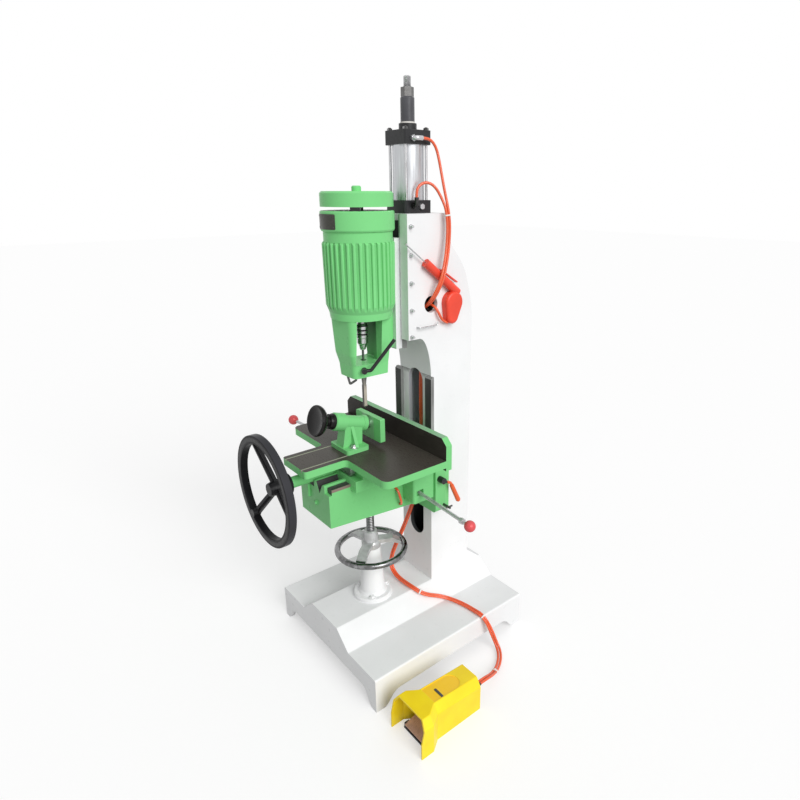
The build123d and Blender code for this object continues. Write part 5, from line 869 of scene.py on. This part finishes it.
class MORTISER_OT_white_castings(bpy.types.Operator):
    """Paints the base, column, pedestal and head slide"""

    bl_idname = "mortiser.white_castings"
    bl_label = "White castings"

    def execute(self, context):
        colours = palette(context)
        white, iron, slate = colours.white_paint, colours.way_iron, colours.slate
        dress(paint("base_white", white), "base_casting", "pedestal")
        column = paint("column_white", white)
        inner = column.block((-64.5, 384.5, 160), (64.5, 545, 1000))
        # The slot's inside in slate paint, with painted shade that darkens it towards the bottom.
        column.over(inner, column.mix(column.span(column.height(), 0.47, 0.62), tone(slate, 0.1), slate), 0.5)
        # Painted shade: the column's inside behind the side hole is near black.
        dark_hole_shade = column.block((-63.5, 300, 1041), (63.5, 545, 1376))
        column.over(dark_hole_shade, tone(slate, 0.06), 0.6)
        ways = column.block((-92.5, 371.5, 477), (92.5, 383.6, 916))
        iron_layer(column, ways, tone(iron, 3.4), UPRIGHT)
        iron_layer(column, column.times(ways, column.facing((0, -1, 0))), tone(iron, 0.62), UPRIGHT)
        dress(column, "column")
        slide = paint("slide_white", white)
        rear = slide.block((-70, 304.5, 900), (70, 330, 1500))
        iron_layer(slide, rear, tone(iron, 3.0), UPRIGHT)
        dress(slide, "head_slide")
        return {"FINISHED"}


class MORTISER_OT_green_castings(bpy.types.Operator):
    """Paints the motor, chuck housing, knee, saddle, table, fence and vise"""

    bl_idname = "mortiser.green_castings"
    bl_label = "Green castings"

    def execute(self, context):
        colours = palette(context)
        self.head(colours)
        self.knee(colours)
        self.table(colours)
        return {"FINISHED"}

    def head(self, colours):
        green = colours.green_paint
        # A lighter copy of the green paint on the head: painted light, where the head stands in the light.
        head_lit_green = tone(green, 1.13)
        dress(paint("motor_green", head_lit_green, 0.24), "motor_end_ring", "motor_fan_cover")
        housing = paint("housing_green", head_lit_green, 0.24)
        # Painted shade on the chuck housing's inner walls, darker towards the top.
        shaded_walls = housing.block((-50, 132.5, 988), (30, 237.5, 1116.5))
        shade = housing.mix(housing.span(housing.height(), 1.0, 1.1), tone(green, 0.62), tone(green, 0.22))
        housing.over(shaded_walls, shade, 0.6)
        dress(housing, "chuck_housing")
        ribs = paint("rib_green", head_lit_green, 0.24)
        low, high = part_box("motor_housing")
        crest = (high.x - low.x) / 2
        start, end = (crest - depth for depth in RIB_SHADE)
        # Painted shade in the grooves between the ribs, darker towards their root, on the ribbed barrel only.
        rib_groove_shade = ribs.span(ribs.from_axis((low + high) / 2), start, end, 0.0, 0.28)
        barrel = ribs.block((-110, 70, 1135), (110, 310, 1325))
        ribs.over(ribs.times(rib_groove_shade, barrel), tone(green, 0.55), 0.5)
        dress(ribs, "motor_housing")

    def knee(self, colours):
        # The knee takes the darker copy of the green paint: painted shade.
        knee = paint("knee_green", knee_green(colours))
        deck = knee.block((-84.5, 0.4, 632.4), (-0.5, 345.6, 634))
        vee = knee.block((11.6, 0.4, 621), (48.4, 345.6, 634))
        flat = knee.block((60.2, 9, 633.4), (83.6, 345.6, 651))
        iron_layer(knee, knee.most(knee.most(deck, vee), flat), colours.way_iron, BACKWARD, metal=0.3)
        flank = knee.times(knee.facing((1, 0, 0)), knee.block((83, 5, 641), (85, 345, 651)))
        knee.over(flank, (0.26, 0.19, 0.165), 0.45, 0.2)
        dress(knee, "knee_casting")
        saddle = paint("saddle_green", colours.green_paint)
        ground = saddle.times(saddle.facing((0, 0, 1)), saddle.block((-116, 60, 675), (116, 301, 720)))
        iron_layer(saddle, ground, colours.way_iron)
        dress(saddle, "saddle")

    def table(self, colours):
        green, iron = colours.green_paint, colours.dark_iron
        table = paint("table_green", green, gloss=0.3, chips_and_highlight=0.3, coat=0.0)
        top = table.times(table.facing((0, 0, 1)), table.block((-263, -61, 719), (263, 288, 723)))
        iron_layer(table, top, iron, (1.5, 22.0, 1.0), rough=0.22, marks=(0.95, 1.08, 0.85))
        groove = table.sum(
            "ADD", table.block((-50, -61, 715), (-44, 93, 721.7)), table.block((44, -61, 715), (50, 93, 721.7)))
        table.over(groove, colours.groove_iron, 0.45)
        dress(table, "table")
        fence = paint("fence_green", green, gloss=0.3, chips_and_highlight=0.3, coat=0.0)
        iron_layer(fence, fence.facing((0, -1, 0)), tone(iron, 0.55), SIDEWAYS, metal=0.0)
        worn_and_highlight = fence.span(fence.noise(26.0, 4.0), 0.3, 0.7, 0.35, 0.75)
        fence.over(fence.times(fence.facing((0, 0, 1)), worn_and_highlight), (0.32, 0.42, 0.35), 0.5)
        dress(fence, "fence")
        dress(paint("vise_green", green, 0.24), "vise_body", "knee_keepers")
        jaw = paint("jaw_green", green, 0.24)
        iron_layer(jaw, jaw.facing((0, 1, 0)), iron, SIDEWAYS)
        ram = jaw.block((-30, 90, 740), (30, 196.8, 830))
        jaw.over(ram, colours.bright_steel, 0.3, 1.0)
        dress(jaw, "vise_ram")


class MORTISER_OT_black_parts(bpy.types.Operator):
    """Finishes the black wheels, levers, cylinder caps and nuts"""

    bl_idname = "mortiser.black_parts"
    bl_label = "Black parts"

    def execute(self, context):
        colours = palette(context)
        black, dark = colours.black_paint, colours.dark_steel
        dress(satin_black("wheel_black", black, rough=0.28, wear_and_sheen=0.3, shine=0.14), "feed_wheel")
        dress(satin_black("lever_black", black, 0.3), "chisel_lock_lever", "fan_cover_spacers")
        cap = satin_black("cap_black", tone(black, 1.2), 0.34)
        low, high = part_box("cylinder_upper_cap")
        bumper = cap.inside((low.x, low.y, high.z - CAP_BUMPER), (high.x, high.y, high.z + 0.001))
        cap.over(bumper, (0.72, 0.70, 0.66), 0.5)
        dress(cap, "cylinder_upper_cap")
        dress(satin_black("cap_black_lower", tone(black, 1.2), 0.34), "cylinder_lower_cap")
        dress(satin_black("valve_black", black, 0.4), "pedal_base")
        dress(satin_black("sleeve_black", tone(black, 6.5), 0.26), "stroke_sleeve")
        dress(steel("nut_dark", tone(dark, 1.35), 0.3), "rod_nuts")
        fittings = steel("fitting_dark", tone(dark, 0.5), 0.3)
        elbow = fittings.block((40, 330, 1575), (70, 375, 1605))
        plug = fittings.near(place((50, 374, 1416)), 0.011)
        fittings.over(fittings.most(elbow, plug), colours.bright_steel, 0.22, 0.8)
        dress(fittings, "air_fittings")
        dress(steel("pinion_dark", tone(dark, 0.4), 0.45), "pinion_shaft")
        dress(steel("lock_dark", dark, 0.35), "knee_lock_screw")
        return {"FINISHED"}


class MORTISER_OT_bright_metal(bpy.types.Operator):
    """Finishes the bright steel, chrome and aluminium pieces"""

    bl_idname = "mortiser.bright_metal"
    bl_label = "Bright metal"

    def execute(self, context):
        colours = palette(context)
        self.cylinder(colours)
        self.wheel(colours.chrome)
        self.tools(colours.bright_steel)
        bright, iron = colours.bright_steel, colours.dark_iron
        screw = steel("screw_steel", tone(bright, 0.6), 0.3)
        low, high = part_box("elevating_screw")
        thread_relief(screw, low.z, high.z, SCREW_PITCH, 0.0016)
        dress(screw, "elevating_screw")
        dress(steel("gib_steel", bright, 0.4), "gib_strip", "gib_screws")
        dress(steel("shaft_steel", tone(bright, 0.7), 0.3),
              "spindle_shaft", "spindle_bearings", "feed_rack", "piston", "cooling_fan")
        core = Finish("core_iron")
        core.base(core.mix(core.noise(60.0), tone(iron, 0.8), tone(iron, 1.3)), 0.6, 0.4)
        dress(core, "stator", "rotor")
        plate = steel("treadle_plate", colours.treadle, rough=0.5, streak=(6.0, 0.5, 6.0), grime=0.3)
        plate.metal = 0.2
        dress(plate, "pedal_plate")
        return {"FINISHED"}

    def cylinder(self, colours):
        bright = colours.bright_steel
        barrel = steel("barrel_aluminium", colours.barrel, rough=0.3, streak=(5.0, 5.0, 0.2), grime=0.1)
        dress(barrel, "cylinder_barrel")
        dress(steel("drawn_steel", bright, rough=0.2, streak=DRAWN, grime=0.25), "gun_nozzle", "gun_hook")
        rods = steel("tie_rod_steel", bright, rough=0.2, streak=DRAWN, grime=0.25)
        low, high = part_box("cylinder_tie_rods")
        nuts = rods.inside((low.x, low.y, high.z - TIE_ROD_NUT), high)
        rods.over(nuts, tone(colours.dark_steel, 0.3), 0.4, 0.5)
        dress(rods, "cylinder_tie_rods")
        rod = steel("rod_steel", tone(bright, 1.2), rough=0.18, streak=DRAWN, grime=0.2)
        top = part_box("piston_rod")[1].z
        thread_relief(rod, top - ROD_THREAD, top, ROD_PITCH, 0.0012)
        dress(rod, "piston_rod")

    def wheel(self, chrome):
        wheel = steel("wheel_chrome", chrome, rough=0.16, streak=(1.0, 1.0, 1.0), grime=0.3)
        # Painted shade under the wheel: faces that look down are darker, and rougher.
        dull = wheel.facing((0, 0, -1), 0.1, 0.9)
        wheel.over(wheel.times(dull, 0.7), tone(chrome, 0.4), 0.4, 1.0)
        spokes = wheel.span(wheel.from_axis(place(LIFT_AXIS)), 0.102, 0.098, 0.0, 0.85)
        mottle = wheel.span(wheel.noise(55.0, 5.0), 0.38, 0.62)
        wheel.colour = wheel.mix(wheel.times(mottle, 0.7), wheel.colour, tone(chrome, 0.3))
        wheel.over(spokes, wheel.mix(mottle, (0.46, 0.46, 0.46), (0.62, 0.62, 0.63)), 0.38, 0.2)
        dress(wheel, "elevating_wheel")

    def tools(self, bright):
        chuck = steel("chuck_steel", tone(bright, 1.1), 0.2)
        height = chuck.height()
        for level in CHUCK_GROOVES:
            off = chuck.sum("ABSOLUTE", chuck.sum("SUBTRACT", height, level))
            chuck.over(chuck.span(off, 0.0022, 0.0014), (0.02, 0.02, 0.02), 0.4, 0.6)
        dress(chuck, "drill_chuck")
        dress(steel("bit_steel", tone(bright, 0.3), 0.32), "auger_bit")
        chisel = steel("chisel_steel", tone(bright, 0.3), 0.32)
        # Paler brown-grey low on the face turned to the light: a painted highlight.
        worn_and_highlight = chisel.times(chisel.facing((0.9, -0.43, 0), 0.2, 0.9), chisel.span(chisel.height(), 0.935, 0.89))
        chisel.over(worn_and_highlight, (0.50, 0.45, 0.38), 0.4, 0.4)
        # Painted shade: the face turned from the light is near black.
        chisel.over(chisel.facing((-0.5, -0.87, 0), 0.5, 0.95), (0.03, 0.028, 0.026), 0.4, 0.4)
        dress(chisel, "hollow_chisel")


class MORTISER_OT_plastic_parts(bpy.types.Operator):
    """Finishes the air gun, the foot valve's guard, the red balls and the clamp grip"""

    bl_idname = "mortiser.plastic_parts"
    bl_label = "Plastic parts"

    def execute(self, context):
        colours = palette(context)
        dress(moulding("gun_red", colours.gun, 0.3), "gun_body", "gun_trigger")
        guard = moulding("guard_yellow", colours.guard, 0.32)
        straight = guard.block((392, 84, 90), (450, 167, 125))
        tail = guard.span(guard.from_axis(place(GUARD_TAIL)), 0.0294, 0.0286)
        # The sunk panel on top is deeper yellow: painted shade in the recess.
        panel = guard.times(guard.facing((0, 0, 1), 0.9, 0.95), guard.most(straight, tail))
        guard.over(panel, colours.guard_panel_shade, 0.3)
        dress(guard, "pedal_guard")
        for name, centre in BALLS.items():
            lever = steel(f"{name}_steel", colours.bright_steel, 0.22)
            lever.set(Specular_IOR_Level=0.2)
            lever.metal = 0.55
            lever.over(lever.near(place(centre), BALL_RADIUS), colours.ball, 0.24, 0.0)
            if name == "right_lever":
                hub = lever.span(lever.from_axis(place(LEVER_HUB)), 0.0142, 0.0136)
                lever.over(hub, knee_green(colours), 0.3, 0.0)
            dress(lever, name)
        clamp = satin_black("clamp_black", colours.black_paint)
        low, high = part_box("knee_clamp_lever")
        front = place(GRIP_FRONT)[1]
        grip = clamp.inside((low.x - 0.01, front, low.z - 0.01), (high.x + 0.01, high.y + 0.01, high.z))
        clamp.over(grip, colours.grip, 0.3)
        dress(clamp, "knee_clamp_lever")
        return {"FINISHED"}


# ---------------------------------------------------------------- stage

# The camera's place is in millimetres, as place takes it. Turns are degrees.
CAMERA_PLACE, CAMERA_DOWN, CAMERA_ROUND = (1419.49, -731.09, 1450.0), 19.35, 49.96
CAMERA_SENSOR, CAMERA_LENS, CAMERA_SHIFT = 36.0, 26.565, -0.0427
SUN_FROM, SUN_STRENGTH, SUN_WIDTH = (0.80, -0.06, 0.46), 2.35, 40
SKY_STRENGTH = 0.50
FLOOR_GREY, FLOOR_SEEN_GREY, FLOOR_LIFT = 0.52, 0.60, 0.46


class MORTISER_OT_stage(bpy.types.Operator):
    """Sets the floor, the soft light and the camera"""

    bl_idname = "mortiser.stage"
    bl_label = "Stage"

    def execute(self, context):
        scene = context.scene
        scene.view_settings.view_transform = "Standard"
        self.camera(scene)
        self.floor(scene)
        self.world(scene)
        self.sun(scene)
        return {"FINISHED"}

    def camera(self, scene):
        data = bpy.data.cameras.new("camera")
        data.sensor_width = CAMERA_SENSOR
        data.lens = CAMERA_LENS
        data.shift_x = CAMERA_SHIFT
        data.clip_end = 100.0
        camera = bpy.data.objects.new("camera", data)
        camera.location = place(CAMERA_PLACE)
        camera.rotation_euler = (math.radians(90 - CAMERA_DOWN), 0.0, math.radians(CAMERA_ROUND))
        scene.collection.objects.link(camera)
        scene.camera = camera

    def seen(self, nodes, links):
        """One on rays that show the background: from the camera, off metal and through glass."""
        path = nodes.new("ShaderNodeLightPath")
        first, both = (nodes.new("ShaderNodeMath") for _ in range(2))
        first.operation = both.operation = "MAXIMUM"
        links.new(path.outputs["Is Camera Ray"], first.inputs[0])
        links.new(path.outputs["Is Glossy Ray"], first.inputs[1])
        links.new(first.outputs[0], both.inputs[0])
        links.new(path.outputs["Is Transmission Ray"], both.inputs[1])
        return both.outputs[0]

    def choose(self, tree, plain, shown, out):
        """Shows one shader on rays that show the background, and the plain one on all others."""
        nodes, links = tree.nodes, tree.links
        either, out = nodes.new("ShaderNodeMixShader"), nodes.new("ShaderNode" + out)
        links.new(self.seen(nodes, links), either.inputs[0])
        links.new(plain.outputs[0], either.inputs[1])
        links.new(shown.outputs[0], either.inputs[2])
        links.new(either.outputs[0], out.inputs["Surface"])

    def floor(self, scene):
        """A pale floor. Rays that show the background see it lifted to white, with the object's shadow on it."""
        half = scene.mortiser_sizes.floor / 2
        corners = [(-half, -half, 0), (half, -half, 0), (half, half, 0), (-half, half, 0)]
        mesh = bpy.data.meshes.new("floor")
        mesh.from_pydata(corners, [], [(0, 1, 2, 3)])
        floor = bpy.data.objects.new("floor", mesh)
        scene.collection.objects.link(floor)
        material = bpy.data.materials.new("floor_pale")
        material.use_nodes = True
        tree = material.node_tree
        tree.nodes.clear()
        plain, shown, lift, bright = (
            tree.nodes.new("ShaderNode" + kind) for kind in ("BsdfDiffuse", "BsdfDiffuse", "Emission", "AddShader"))
        plain.inputs["Color"].default_value = (FLOOR_GREY, FLOOR_GREY, FLOOR_GREY, 1)
        shown.inputs["Color"].default_value = (FLOOR_SEEN_GREY, FLOOR_SEEN_GREY, FLOOR_SEEN_GREY, 1)
        lift.inputs["Strength"].default_value = FLOOR_LIFT
        tree.links.new(shown.outputs[0], bright.inputs[0])
        tree.links.new(lift.outputs[0], bright.inputs[1])
        self.choose(tree, plain, bright, "OutputMaterial")
        mesh.materials.append(material)

    def world(self, scene):
        world = bpy.data.worlds.new("studio")
        world.use_nodes = True
        scene.world = world
        tree = world.node_tree
        tree.nodes.clear()
        light, white = (tree.nodes.new("ShaderNodeBackground") for _ in range(2))
        light.inputs["Strength"].default_value = SKY_STRENGTH
        for sky in (light, white):
            sky.inputs["Color"].default_value = (1, 1, 1, 1)
        self.choose(tree, light, white, "OutputWorld")

    def sun(self, scene):
        data = bpy.data.lights.new("key_light", "SUN")
        data.energy = SUN_STRENGTH
        data.angle = math.radians(SUN_WIDTH)
        lamp = bpy.data.objects.new("key_light", data)
        lamp.rotation_euler = Vector(SUN_FROM).to_track_quat("Z", "Y").to_euler()
        lamp.location = Vector(SUN_FROM) * 4
        scene.collection.objects.link(lamp)


# ---------------------------------------------------------------- panel and run

STEPS = (
    MORTISER_OT_stage,
    MORTISER_OT_hoses,
    MORTISER_OT_hose_ties,
    MORTISER_OT_bolts,
    MORTISER_OT_motor_plate,
    MORTISER_OT_vise_wheel,
    MORTISER_OT_knee_ways,
    MORTISER_OT_lever_cheeks,
    MORTISER_OT_feed_rim,
    MORTISER_OT_drip_wire,
    MORTISER_OT_valve_plate,
    MORTISER_OT_white_castings,
    MORTISER_OT_green_castings,
    MORTISER_OT_black_parts,
    MORTISER_OT_bright_metal,
    MORTISER_OT_plastic_parts,
)


class MORTISER_PT_panel(bpy.types.Panel):
    """Lists the steps that dress the mortiser"""

    bl_idname = "MORTISER_PT_panel"
    bl_label = "Mortiser"
    bl_space_type = "VIEW_3D"
    bl_region_type = "UI"
    bl_category = "Mortiser"

    def draw(self, context):
        for step in STEPS:
            self.layout.operator(step.bl_idname)
        for group in (context.scene.mortiser_sizes, context.scene.mortiser_colours):
            box = self.layout.box()
            for key in group.__annotations__:
                box.prop(group, key)


CLASSES = (MortiserColours, MortiserSizes, *STEPS, MORTISER_PT_panel)


def register():
    for each in CLASSES:
        bpy.utils.register_class(each)
    bpy.types.Scene.mortiser_colours = PointerProperty(type=MortiserColours)
    bpy.types.Scene.mortiser_sizes = PointerProperty(type=MortiserSizes)


def unregister():
    del bpy.types.Scene.mortiser_sizes
    del bpy.types.Scene.mortiser_colours
    for each in reversed(CLASSES):
        bpy.utils.unregister_class(each)


def main():
    register()
    for step in STEPS:
        group, name = step.bl_idname.split(".")
        getattr(getattr(bpy.ops, group), name)()


if __name__ == "__main__":
    main()
